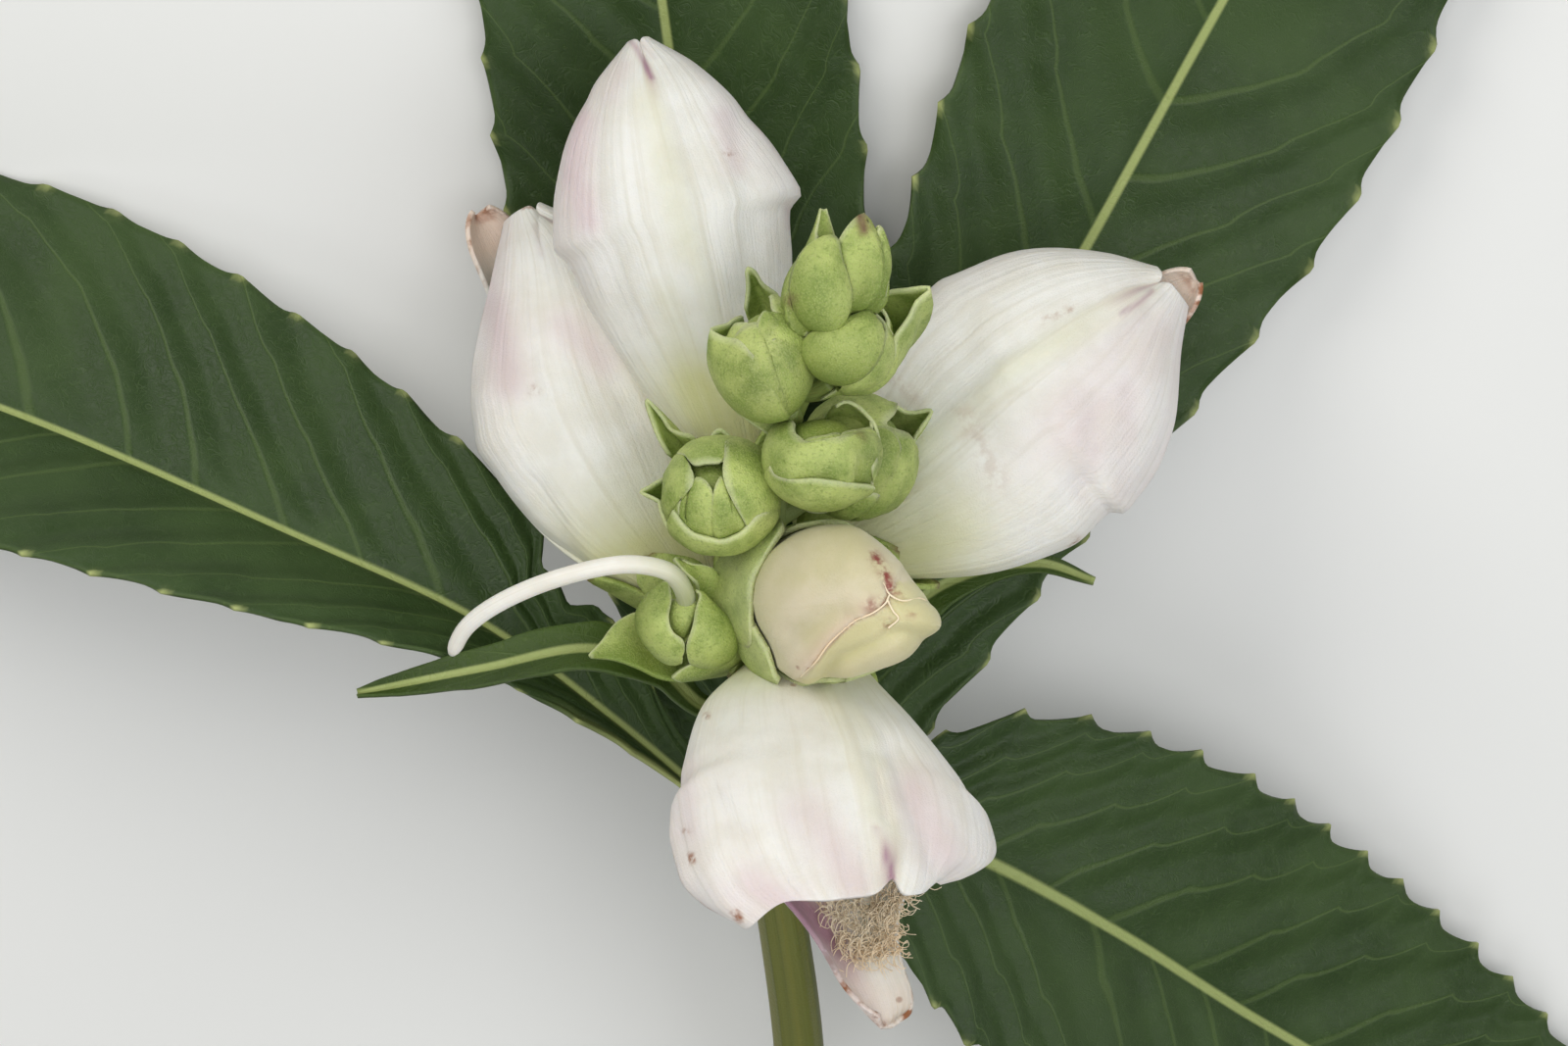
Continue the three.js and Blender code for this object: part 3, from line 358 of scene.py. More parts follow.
def buildGrain():  # fine beads and soft unevenness of a fresh plant skin
    group, desk, given, out = newGroup(
        "skinGrain", {"Bead size mm": 0.18, "Bead height": 0.3, "Patch size mm": 4.0},
        {"Beads": "Float", "Patches": "Float", "Normal": "Vector"})
    place = desk.place()
    beadScale = desk.math("DIVIDE", 1000.0, given["Bead size mm"])
    patchScale = desk.math("DIVIDE", 1000.0, given["Patch size mm"])
    beads = desk.span(desk.cells(place, beadScale), 0.0, 0.75, 1.0, 0.0)
    patches = desk.noise(place, patchScale, 4.0, 0.55)
    desk.put(out["Beads"], beads)
    desk.put(out["Patches"], patches)
    desk.put(out["Normal"], desk.bump(given["Bead height"], 0.00008, beads))
    return group


def buildStreaks():  # fine lines that run the length of a petal or stem, from its own flat map
    group, desk, given, out = newGroup(
        "lengthStreaks", {"Lines": 60.0, "Stretch": 1.5, "Seed": 0.0}, {"Fine": "Float", "Broad": "Float"})
    seed = given["Seed"]
    shifted = desk.vectors("ADD", desk.flat(), desk.combine(seed, seed, seed))
    spread = desk.vectors("MULTIPLY", shifted, desk.combine(given["Lines"], given["Stretch"], 1.0))
    desk.put(out["Fine"], desk.noise(spread, 1.0, 2.0, 0.6, 0.3))
    desk.put(out["Broad"], desk.noise(spread, 0.28, 2.0, 0.5, 0.4))
    return group


skinGrain = buildGrain()
lengthStreaks = buildStreaks()


def newMaterial(name, settings):
    material = bpy.data.materials.new(name)
    material.use_nodes = True
    desk = NodeDesk(material.node_tree)
    surface = desk.nodes["Principled BSDF"].inputs
    for title, value in settings.items():
        surface[title].default_value = value
    return material, desk, surface


def petalSatin(name, look):
    material, desk, surface = newMaterial(name, {
        "Subsurface Weight": look["glow"], "Subsurface Radius": (1.0, 0.8, 0.6), "Subsurface Scale": 0.0012,
        "Sheen Weight": 0.12, "Specular IOR Level": 0.35})
    grain = desk.group(skinGrain, Bead_size_mm=0.16, Bead_height=look["beads"], Patch_size_mm=5.0)
    streaks = desk.group(lengthStreaks, Lines=look["lines"], Stretch=look["stretch"], Seed=look["seed"])
    fine, broad, place = streaks["Fine"], streaks["Broad"], desk.place()
    color = desk.blend(desk.span(grain["Patches"], 0.35, 0.7), look["white"], look["shade"])
    specks = desk.span(desk.cells(place, 210.0), 0.03, 0.075, 1.0, 0.0)
    rare = desk.times(specks, desk.span(desk.noise(place, 160.0), 0.56, 0.62))
    stain = desk.times(desk.mask("stain"), desk.span(desk.noise(place, 900.0, 3.0, 0.6), 0.38, 0.62))
    for share, tint in (
        (desk.span(fine, 0.45, 0.75, 0.0, look["veinDepth"]), "vein"),
        (desk.times(desk.mask("blush"), desk.span(broad, 0.25, 0.75, 0.55, 1.0)), "blush"),
        (desk.times(desk.mask("green"), desk.span(broad, 0.2, 0.8, 0.75, 1.0)), "green"),
        (desk.mask("peach"), "peach"),
        (desk.times(desk.mask("violet"), 0.85), "violet"),
        (desk.math("MINIMUM", stain, 1.0), "stain"),
        (desk.times(rare, 0.55), "stain"),
    ):
        color = desk.blend(share, color, look[tint])
    desk.put(surface["Base Color"], color)
    desk.put(surface["Roughness"], desk.span(fine, 0.2, 0.8, look["rough"] - 0.06, look["rough"] + 0.06))
    height = desk.math("MULTIPLY_ADD", broad, 1.4, fine)
    desk.put(surface["Normal"], desk.bump(look["ridges"], 0.0003, height, grain["Normal"]))
    return material


petalLook = {
    "white": srgb(244, 241, 233), "shade": srgb(232, 228, 217), "vein": srgb(222, 216, 200),
    "blush": srgb(214, 190, 196), "green": srgb(206, 205, 148), "stain": srgb(150, 96, 60),
    "violet": srgb(156, 108, 134), "peach": srgb(238, 212, 194),
    "veinDepth": 0.5, "beads": 0.25, "ridges": 0.42, "rough": 0.46, "glow": 0.35,
    "lines": 46.0, "stretch": 1.6, "seed": 3.0,
}
youngLook = dict(
    petalLook, white=srgb(218, 208, 180), shade=srgb(206, 198, 158), vein=srgb(196, 186, 144),
    blush=srgb(222, 196, 178), green=srgb(210, 204, 152), stain=srgb(138, 66, 58), lines=30.0, seed=9.0,
    veinDepth=0.12, ridges=0.06)
beardLook = dict(
    petalLook, white=srgb(255, 240, 210), shade=srgb(255, 230, 192), glow=0.0, beads=0.0, ridges=0.0)
styleLook = dict(petalLook, ridges=0.1, beads=0.1, green=srgb(170, 178, 120), rough=0.35)


def sepalSkin(name, look):
    material, desk, surface = newMaterial(name, {
        "Subsurface Weight": 0.18, "Subsurface Radius": (0.6, 0.9, 0.25), "Subsurface Scale": 0.0008})
    grain = desk.group(skinGrain, Bead_size_mm=look["bead"], Bead_height=look["beads"], Patch_size_mm=2.5)
    color = desk.blend(desk.span(desk.flatParts()["Y"], 0.1, 0.95), look["low"], look["high"])
    dots = desk.span(desk.noise(desk.place(), 3600.0, 2.0, 0.6), 0.52, 0.7)
    for share, tint in (
        (desk.span(grain["Patches"], 0.35, 0.7), "patch"),
        # pale beads: partly the skin's own pale granules, partly a painted sheen on each bead
        (desk.times(grain["Beads"], 0.3), "paleBeadsAndSheen"),
        (desk.times(dots, 0.45), "deep"),
        (desk.times(desk.mask("green"), 0.9), "deep"),
        (desk.times(desk.mask("blush"), 0.52), "margin"),
        (desk.mask("stain"), "stain"),
    ):
        color = desk.blend(share, color, look[tint])
    desk.put(surface["Base Color"], color)
    desk.put(surface["Roughness"], desk.span(grain["Beads"], 0.0, 1.0, look["rough"] + 0.08, look["rough"]))
    desk.put(surface["Normal"], desk.bump(0.3, 0.0004, grain["Patches"], grain["Normal"]))
    return material


budLook = {
    "low": srgb(132, 148, 62), "high": srgb(184, 198, 114), "patch": srgb(130, 150, 68),
    # the pale bead colour is partly the sepals' own pale granules, partly a painted sheen
    "paleBeadsAndSheen": srgb(202, 210, 134), "deep": srgb(104, 124, 46), "margin": srgb(212, 216, 176),
    "stain": srgb(112, 82, 58), "bead": 0.17, "beads": 0.45, "rough": 0.52,
}


def leafSkin(name, look):
    material, desk, surface = newMaterial(name, {
        "Specular IOR Level": 0.32, "Subsurface Weight": 0.06, "Subsurface Radius": (0.3, 0.6, 0.15),
        "Subsurface Scale": 0.0005})
    grain = desk.group(skinGrain, Bead_size_mm=0.22, Bead_height=0.1, Patch_size_mm=9.0)
    place = desk.place()
    across = desk.math("ABSOLUTE", desk.math("MULTIPLY_ADD", desk.flatParts()["X"], 2.0, -1.0))
    row = desk.math("ADD", desk.mask("blush"), desk.math("MULTIPLY_ADD", desk.noise(place, 110.0), 0.2, -0.1))
    fromVein = desk.math("ABSOLUTE", desk.math("ADD", desk.math("FRACT", row), -0.5))
    width = desk.span(across, 0.0, 0.95, look["veinWide"], look["veinWide"] * 0.3)
    sideVein = desk.math("SUBTRACT", 1.0, desk.span(desk.math("DIVIDE", fromVein, width), 0.25, 1.0))
    warp = desk.add("ShaderNodeTexNoise", {"Vector": place, "Scale": 300.0}).outputs["Color"]
    warped = desk.vectors("MULTIPLY_ADD", place, warp, (0.0004, 0.0004, 0.0004))
    netLine = desk.span(desk.cells(warped, 330.0, "DISTANCE_TO_EDGE"), 0.0, 0.06, 1.0, 0.0)
    fineLine = desk.span(desk.cells(warped, 900.0, "DISTANCE_TO_EDGE"), 0.0, 0.1, 1.0, 0.0)
    color = desk.blend(desk.span(grain["Patches"], 0.3, 0.7), look["dark"], look["light"])
    for share, tint in (
        (desk.times(fineLine, 0.12), "net"),
        (desk.times(netLine, 0.2), "net"),
        (desk.times(sideVein, 0.4), "vein"),
        (desk.span(desk.mask("green"), 0.35, 0.75), "midrib"),
        (desk.span(across, 0.975, 1.0, 0.0, 0.3), "vein"),
        (desk.mask("stain"), "stain"),
    ):
        color = desk.blend(share, color, look[tint])
    desk.put(surface["Base Color"], color)
    desk.put(surface["Roughness"], desk.span(
        grain["Patches"], 0.2, 0.8, look["rough"] - 0.06, look["rough"] + 0.08))
    relief = desk.math("ADD", desk.times(netLine, -0.5), desk.times(fineLine, -0.25))
    relief = desk.math("ADD", relief, desk.times(sideVein, -1.1))
    desk.put(surface["Normal"], desk.bump(0.25, 0.0004, relief, grain["Normal"]))
    return material


leafLook = {
    "dark": srgb(43, 63, 26), "light": srgb(57, 78, 37), "net": srgb(74, 96, 49), "vein": srgb(88, 108, 56),
    "midrib": srgb(158, 170, 104), "stain": srgb(176, 184, 118), "veinWide": 0.07, "rough": 0.5,
}
bractLook = dict(
    leafLook, dark=srgb(48, 68, 18), light=srgb(64, 86, 27), net=srgb(80, 100, 38), veinWide=0.06)


def stemSkin(name):
    material, desk, surface = newMaterial(name, {
        "Roughness": 0.45, "Subsurface Weight": 0.08, "Subsurface Scale": 0.0008})
    grain = desk.group(skinGrain, Bead_size_mm=0.25, Bead_height=0.25, Patch_size_mm=6.0)
    streaks = desk.group(lengthStreaks, Lines=26.0, Stretch=2.0, Seed=1.0)
    color = desk.blend(desk.span(streaks["Broad"], 0.3, 0.7), srgb(92, 98, 31), srgb(118, 116, 44))
    color = desk.blend(desk.span(streaks["Fine"], 0.45, 0.75, 0.0, 0.5), color, srgb(72, 80, 24))
    color = desk.blend(desk.mask("green"), color, srgb(150, 168, 92))
    desk.put(surface["Base Color"], color)
    desk.put(surface["Normal"], desk.bump(0.5, 0.0003, streaks["Fine"], grain["Normal"]))
    return material


petalSkin = petalSatin("petalSatin", petalLook)
youngSkin = petalSatin("youngPetal", youngLook)
beardSkin = petalSatin("beardHair", beardLook)
budSkin = sepalSkin("budSepal", budLook)
bractSkin = leafSkin("bractSkin", bractLook)
bladeSkin = leafSkin("leafBlade", leafLook)
stalkSkin = stemSkin("stemSkin")
styleSkin = petalSatin("styleSkin", styleLook)
print("materials ready")

# Open corollas. Half widths to left and right and heights of back and belly are along the length, with
# left and right as on a flower that points up. "rimBack" draws back the upper lip's two corners and
# "lobeBack" its left side. "tongue" is the lower lip's reach, half width, turn aside and drop. A scallop
# of the free edge has its place across, width and depth. "lipBand" and "lipTint" colour the lower lip,
# and "rosy" is how pink the tube is.
corollaForms = {
    "top": {
        "root": (-2.4, 2.4, -2.6), "tip": (-11.2, 37.2, -4), "back": (0.05, 0, 1),
        "left": ((0, 2), (0.17, 4.8), (0.31, 6.7), (0.46, 8.6), (0.57, 9.3), (0.61, 10.1), (0.8, 7.6),
            (0.92, 4.4), (1, 0.8)),
        "right": ((0, 2), (0.17, 4.2), (0.31, 5.5), (0.46, 7), (0.57, 7.9), (0.6, 9.1), (0.8, 6.3),
            (0.92, 3.8), (1, 0.8)),
        "top": ((0, 1.9), (0.3, 5), (0.6, 7.2), (0.85, 5.2), (1, 1)),
        "bottom": ((0, -1.9), (0.3, -4.4), (0.6, -6), (0.85, -5.2), (1, -4)), "rimBack": (0, 0),
        "sepals": 5.5, "tongue": (0.95, 4.2, 0, -5), "lipBand": 0, "lipTint": 0.4, "rosy": 0.55,
    },
    "left": {
        "root": (-6.2, -6.6, -8), "tip": (-20.2, 24.6, -13.5), "back": (0.45, 0.2, 0.87),
        "left": ((0, 2), (0.1, 5.2), (0.21, 8.4), (0.33, 10.4), (0.5, 11.8), (0.57, 11.4), (0.62, 10.9),
            (0.8, 6.6), (0.92, 3.6), (1, 1.4)),
        "right": ((0, 2), (0.17, 5), (0.31, 6.2), (0.46, 7.2), (0.57, 7.2), (0.61, 7.8), (0.8, 5.8),
            (0.92, 4), (1, 1.4)),
        "top": ((0, 1.9), (0.3, 4.8), (0.6, 6), (0.85, 4.6), (1, 1.2)),
        "bottom": ((0, -1.9), (0.3, -5.4), (0.6, -6.4), (0.85, -5), (1, -4)), "rimBack": (0, 0),
        "sepals": 5.5, "tongue": (1.06, 2.6, 2.2, -4.2), "lipBand": 0.5, "lipTint": 0.85, "rosy": 0.3,
    },
    "right": {
        "root": (3.2, -2.6, -5), "tip": (29.6, 18.6, -4), "back": (-0.2, 0.2, 1),
        "left": ((0, 2), (0.17, 5.8), (0.31, 8.6), (0.46, 10.6), (0.57, 11), (0.61, 11), (0.8, 8.6),
            (0.93, 4.6), (1, 1.4)),
        "right": ((0, 2), (0.17, 6.7), (0.31, 9.6), (0.46, 11.3), (0.57, 11.2), (0.6, 12), (0.8, 8.8),
            (0.93, 4.2), (1, 2)),
        "top": ((0, 1.9), (0.3, 5.4), (0.6, 7.6), (0.85, 5.2), (1, 1.2)),
        "bottom": ((0, -1.9), (0.3, -5.4), (0.6, -7), (0.85, -5.5), (1, -3.6)), "rimBack": (0, 0),
        "sepals": 5.5, "tongue": (1.06, 2.3, -0.6, -3), "lipBand": 0.1, "lipTint": 0.8, "rosy": 0.35,
    },
    "bottom": {
        "root": (1.6, -9.2, -4.4), "tip": (6.2, -30.8, 17.5), "back": (0.38, 0.2, 0.95),
        "left": ((0, 2), (0.17, 4.8), (0.31, 7.2), (0.5, 9.8), (0.57, 10.4), (0.62, 11.4), (0.84, 11.2),
            (0.95, 9), (1, 7)),
        "right": ((0, 2), (0.17, 6.4), (0.31, 10), (0.5, 12.2), (0.57, 12.6), (0.62, 13.4), (0.84, 13.2),
            (0.95, 11.4), (1, 9.4)),
        "top": ((0, 1.9), (0.15, 2.8), (0.3, 4.2), (0.6, 6.6), (0.85, 6.2), (1, 4.6)),
        "bottom": ((0, -1.9), (0.15, -2.4), (0.3, -4), (0.6, -6.4), (0.85, -6.4), (1, -6)),
        "rimBack": (0.03, 0.3), "sepals": 5, "tongue": (0.98, 2.9, 5, -9.5), "lipBand": 1.1,
        "lipTint": 0.35, "lobeBack": 0.13,
        "scallops": ((0.02, 0.05, 0.035), (0.42, 0.12, 0.03), (-0.3, 0.1, -0.01), (-0.78, 0.18, -0.03),
            (-1, 0.1, 0.045)),
        "rosy": 0.3,
    },
}
corollaDetail = {
    "lipSplit": 0.58,  # share of the length where the two lips part
    "rimAngle": math.radians(102),  # from the middle of the back to the upper lip's edge
    "columnsUp": 96, "columnsLow": 48, "rows": 100, "splitRow": 54,
    "wall": 0.4,  # petal thickness
    "keel": 0.28,  # height of the ridge along the back
    "flare": 0.35,  # how far the free edge turns out
    "unevenness": 0.22,
    "greenFoot": 0.85,  # how green the foot of the tube is
}

# What shows on each petal tube: lines or spots as seen from the front, each with its width and strength.
corollaMarks = {
    "top": {
        "green": ((((-11, 32.6), (-9.9, 28), (-8, 20.7)), 0.9, 0.18),
            (((-6.2, 10.4), (-1.5, 6.5)), 2.4, 0.5), (((-9, 17.5), (-7.5, 11.5)), 1.4, 0.2)),
        "violet": ((((-11.6, 36.8), (-11.1, 35.7), (-10.1, 33.9)), 0.22, 0.6),
            (((-10.9, 36.9), (-9.9, 35.5)), 0.22, 0.2), (((0, 24.6), (0.2, 22.6)), 0.3, 0.25)),
        "blush": ((((-15.3, 30.5), (-15.8, 26.5), (-15, 23.1)), 1.2, 0.7),
            (((-4.9, 31), (-3.9, 27.3)), 1, 0.5), (((-12.3, 34.8), (-13.1, 32.5)), 0.8, 0.35)),
        "stain": ((((-4.3, 28.1),), 0.32, 1.4), (((-16.9, 19.8), (-16.1, 19.1)), 0.22, 0.6)),
        "dents": ((((-14.5, 31.8), (-14.1, 25), (-12, 16)), 1.2, 0.3),
            (((-3.4, 30.3), (-2.4, 23.5), (-2.6, 17.5)), 1.3, 0.35),
            (((-11, 32.6), (-8, 20.7)), 0.6, -0.12), (((-7.5, 31), (-5.8, 21.3)), 1.6, 0.18)),
    },
    "left": {
        "green": ((((-13.5, -4.2), (-8.2, -2)), 2.6, 0.45),),
        "violet": ((((-22.1, 16), (-21.1, 13), (-20.8, 10.4)), 1.2, 0.22),
            (((-11.3, -5.2), (-10.7, -5), (-10.1, -5.7)), 0.2, 0.7),
            (((-19, 22.6), (-18.5, 20.4)), 0.25, 0.2)),
        "blush": ((((-22.5, 22.4), (-22.7, 17.7)), 1.2, 0.7), (((-16.8, 15), (-13.9, 12.4)), 1.6, 0.5),
            (((-22.1, 15.7), (-21, 10.9)), 1.8, 0.4)),
        "stain": ((((-19.1, 10.1),), 0.3, 0.9), (((-24.6, 7), (-24, 6.1)), 0.3, 0.9),
            (((-23.7, 5.7), (-23.5, 5)), 0.28, 0.9), (((-19.9, 24), (-19.1, 24)), 0.18, 0.5)),
        "dents": ((((-19, 3), (-15.8, -3)), 0.9, 0.4),
            (((-20.2, 17.5), (-18, 10), (-16.9, 4.8)), 1.3, 0.28), (((-24.3, 7), (-23.6, 5.1)), 1, -0.3),
            (((-15, 15.3), (-12, 8.5)), 1.5, 0.22), (((-18.8, 23.4), (-18.7, 21.6)), 0.25, 0.25)),
    },
    "right": {
        "green": ((((9.8, -4.2), (13.5, 0.3)), 2.4, 0.22),
            (((17, 11.8), (21.8, 13.9), (25.1, 15.3), (28.1, 17.5)), 0.8, 0.14)),
        "violet": ((((25.8, 16), (27, 16.7), (28.1, 17.6)), 0.2, 0.6),
            (((22.7, 2.2), (23.8, 5.5)), 0.9, 0.14), (((25.5, 2.5), (26.4, 7), (26.2, 10)), 0.9, 0.16)),
        "blush": ((((22.5, 7), (25.5, 11.5), (27.4, 14.9)), 3, 0.4), (((18, 4.8), (21.8, 8.5)), 2.6, 0.2)),
        "stain": ((((22.3, -1.6),), 0.5, 0.9), (((23.7, -2.1),), 0.22, 0.7),
            (((8.4, 11), (9.4, 10.2), (10.3, 9.4)), 0.6, 0.16), (((13.9, 8.3), (16.3, 3.2)), 0.9, 0.14),
            (((19.8, 15.3), (21, 15.9), (22.3, 16.3)), 0.25, 0.35)),
        "dents": ((((24, 9.3), (23.4, 3.3)), 1.3, 0.4), (((26.2, 10), (25.6, 4)), 1.1, 0.25),
            (((17.2, 10), (25.1, 13.6), (27.9, 15.9)), 0.8, 0.22),
            (((17, 11.8), (25.1, 15.3), (28.1, 17.5)), 0.7, -0.25), (((13.9, 15.3), (15, 7)), 1.6, 0.25),
            (((19.5, -0.9), (22.1, 2.5)), 1.3, 0.2)),
    },
    "bottom": {
        "green": ((((-3, -9.5), (5.2, -8.7)), 2.4, 0.3), (((3.4, -13), (5.2, -18), (6.8, -22)), 0.8, 0.15)),
        "violet": ((((7.2, -23.4), (7.9, -26.1), (8.4, -27.9)), 0.22, 0.6),
            (((7, -19.2), (7.6, -22.6)), 0.3, 0.15)),
        "blush": ((((1.5, -22.2), (5.2, -27.5)), 2, 0.55), (((9.8, -20.7), (12, -25.2)), 2, 0.6),
            (((-2.6, -27.9), (0.4, -29.4)), 1.8, 0.6), (((-7.5, -18.5), (-7.1, -23.7)), 1, 0.3)),
        "stain": ((((-6.9, -25.7),), 0.36, 1), (((-3.7, -29.7), (-3.3, -30.2)), 0.22, 1),
            (((-5.8, -14.9),), 0.22, 0.8), (((-7.5, -23.6), (-7, -23.7)), 0.16, 0.4)),
        "dents": ((((7, -17.7), (7.7, -22.6)), 0.7, 0.4),
            (((8.8, -17.6), (10.1, -21.5), (11.8, -26.1)), 1.1, 0.55),
            (((-5.7, -20.8), (-4.1, -23), (-2.5, -25.4)), 1.2, 0.5),
            (((3.4, -13), (5.2, -18), (6.9, -22.4), (8.2, -27.5)), 0.7, -0.3),
            (((0, -17), (1.1, -23), (1.5, -27.5)), 1.6, 0.25), (((-2.6, -27.5), (0, -28.6)), 1, -0.25)),
    },
}


def markAt(seen, marks):  # strength of a set of marks at a seen point
    total = 0.0
    for line, width, strength in marks:
        near = (seen - Vector(line[0])).length
        if near > 3 * width + sum((Vector(b) - Vector(a)).length for a, b in zip(line, line[1:])):
            continue
        total += strength * (bell(near, width) if len(line) == 1 else lineBell(seen, line, width))
    return total


def corollaSection(form):
    left, right, top, bottom = (profile(form[key]) for key in ("left", "right", "top", "bottom"))

    def section(angle, t):
        middle = 0.45 * top(t) + 0.55 * bottom(t) + 0.8
        height = top(t) - middle if math.cos(angle) >= 0 else middle - bottom(t)
        half = left(t) if math.sin(angle) >= 0 else right(t)
        return half * math.sin(angle), middle + height * math.cos(angle)

    return section


def makeCorolla(name, form):
    detail, marks, blush = corollaDetail, corollaMarks[name], form["rosy"]
    split, rim = detail["lipSplit"], detail["rimAngle"]
    rows, splitRow = detail["rows"], detail["splitRow"]
    place, length, section = axesOf(form), lengthOf(form), corollaSection(form)
    reach, half, aside, drop = form["tongue"]

    def shareAt(v, end):
        row = round(v * rows)
        if row <= splitRow:
            return row / splitRow * split
        s = (row - splitRow) / (rows - splitRow)
        return split + (0.12 * s + 0.88 * (1 - (1 - s) ** 1.5)) * (end - split)

    def uneven(spot, t):
        return noise.noise(spot * 0.16) * (detail["unevenness"] * ramp(t, 0.05, 0.3))

    def outAt(spot, t):
        return (spot - place(0, 0, length * t)).normalized()

    def greenFoot(t):
        return detail["greenFoot"] * (1 - ramp(t, 0.08, 0.42))

    def upperAt(u, v):
        t = shareAt(v, 1)
        side = 2 * u - 1
        beyond = max(0.0, (t - split) / (1 - split))
        back = form["rimBack"][1 if u > 0.5 else 0] * abs(side) ** 1.2 * beyond ** 2
        back += 0.02 * bell(side, 0.1) * ramp(beyond, 0.75, 1)
        back += form.get("lobeBack", 0) * ramp(side, 0.5, 0.95) * beyond
        for middle, width, depth in form.get("scallops", ()):
            back += depth * bell(side - middle, width) * ramp(beyond, 0.6, 1)
        x, y = section(side * rim, t)
        size = 1 + detail["keel"] * bell(side, 0.05) * ramp(t, 0.15, 0.5) / 8
        size += detail["flare"] / 9 * ramp(abs(side), 0.86, 1) * ramp(beyond, 0, 0.35)
        spot = place(x * size, y * size, length * (t - back))
        dent = markAt(seenAt(spot), marks["dents"]) * ramp(t, 0.02, 0.15)
        return spot + outAt(spot, t) * (uneven(spot, t) - dent)

    def lowerAt(u, v):
        t = shareAt(v, reach)
        angle = rim + u * 2 * (math.pi - rim)
        x, y = section(angle, min(t, split))
        s = max(0.0, (t - split) / (reach - split))
        end = math.sqrt(max(0.0, 1 - max(0.0, (s - 0.75) / 0.26) ** 2))
        across = math.cos(u * math.pi)
        tongueX = aside * s + half * end * across
        tongueY = mix(section(math.pi, split)[1], drop, s) + 1.3 * across * across
        share = 1 - (1 - s) ** 3.5
        spot = place(mix(x, tongueX, share), mix(y, tongueY, share), length * t)
        return spot if s > 0 else spot + outAt(spot, t) * uneven(spot, t)

    def upperMasks(u, v, spot):
        t = shareAt(v, 1)
        side, seen = 2 * u - 1, seenAt(spot)
        marked = {kind: markAt(seen, marks[kind]) for kind in ("blush", "green", "stain", "violet")}
        green = greenFoot(t) + 0.22 * bell(side, 0.06) * ramp(t, 0.2, 0.5) + marked["green"]
        rosy = blush * ramp(t, 0.35, 0.7) * ramp(abs(side), 0.25, 0.95) + marked["blush"]
        brown = 0.75 * ramp(abs(side), 0.965, 1.0) * ramp(t, split, 0.8) * (0.5 + noise.noise(spot * 0.6))
        brown = max(brown, 1.6 * marked["stain"])
        violet = marked["violet"] + 0.6 * bell(side, 0.035) * ramp(t, 0.82, 0.95)
        return clamp(rosy), clamp(green), clamp(brown), clamp(violet), 0.0

    def lowerMasks(u, v, spot):
        t = shareAt(v, reach)
        s = max(0.0, (t - split) / (reach - split))
        rosy = 1.4 * blush * ramp(s, 0.05, 0.4) * ramp(u, 0.2, 0.9)
        edge = max(ramp(s, 0.93, 0.99), ramp(abs(2 * u - 1), 0.9, 1.0) * ramp(s, 0.55, 0.8))
        brown = edge * clamp(0.75 + 1.2 * noise.noise(spot * 0.8))
        violet = form["lipBand"] * bell(s - 0.4, 0.3) * ramp(u, 0.35, 0.65)
        return clamp(rosy), greenFoot(t), clamp(brown), clamp(violet), form["lipTint"] * ramp(s, 0.6, 0.85)

    bm = newSheets()
    addSheet(bm, detail["columnsUp"], rows, upperAt, upperMasks)
    addSheet(bm, detail["columnsLow"], rows, lowerAt, lowerMasks, 1.0)
    closeSeams(bm)
    bm = thicken(bm, detail["wall"])
    finishPiece(bm, "corolla_" + name + "_petal", ["corolla_" + name], petalSkin)
    return lowerAt


lipOf = {name: makeCorolla(name, form) for name, form in corollaForms.items()}
print("corollas made")

# Beard: curly hairs that stand on the lower lip of the open flower and spill from its mouth.
beardDetail = {
    "hairs": 320, "thick": 0.075, "long": 2.4, "curl": 0.6, "rows": 12, "seed": 6,
    "points": 7,  # of each hair's own curve, after its foot
    "twist": 8,  # radians along a hair
    "across": (0.04, 0.54), "along": (0.56, 0.74),  # where on the lip the hairs stand
}


def makeBeard(lipAt, form):
    detail = beardDetail
    chance = random.Random(detail["seed"])
    along = (Vector(form["tip"]) - Vector(form["root"])).normalized()
    bm = newSheets()
    for _ in range(detail["hairs"]):
        u, v = chance.uniform(*detail["across"]), chance.uniform(*detail["along"])
        foot = lipAt(u, v)
        up = Vector((chance.uniform(-0.5, 0.5), chance.uniform(-0.4, 0.6), 1)).normalized()
        reach = detail["long"] * chance.uniform(0.6, 1.1)
        turn, curl = chance.uniform(0, 6.3), detail["curl"] * chance.uniform(0.6, 1.3)
        run = []
        for k in range(detail["points"] + 1):
            share = k / detail["points"]
            angle = turn + detail["twist"] * share
            sway = Vector((math.cos(angle), math.sin(angle), 0)) * curl * share
            run.append(foot + (up * (1 - 0.35 * share) + along * 0.7 * share) * reach * share + sway)
        addTube(bm, SmoothCurve(run), lambda t: detail["thick"] * (1 - 0.6 * t), 3, detail["rows"])
    closeSeams(bm)
    finishPiece(bm, "corolla_bottom_beard", [], beardSkin)


makeBeard(lipOf["bottom"], corollaForms["bottom"])
print("beard made")

# Calyces: five sepals that hold the foot of a corolla.
calyxDetail = {
    "count": 5, "columns": 16, "rows": 18, "wall": 0.45, "hug": 0.85,
    "below": 1.8,  # how far the sepals start behind the corolla's root
    "halfTurn": ((0, 32), (0.45, 36), (0.75, 27), (0.92, 12), (1, 2)),  # of a sepal, in degrees
    "footRadius": 2.5, "footLow": -3.2, "footHigh": -0.5,
}


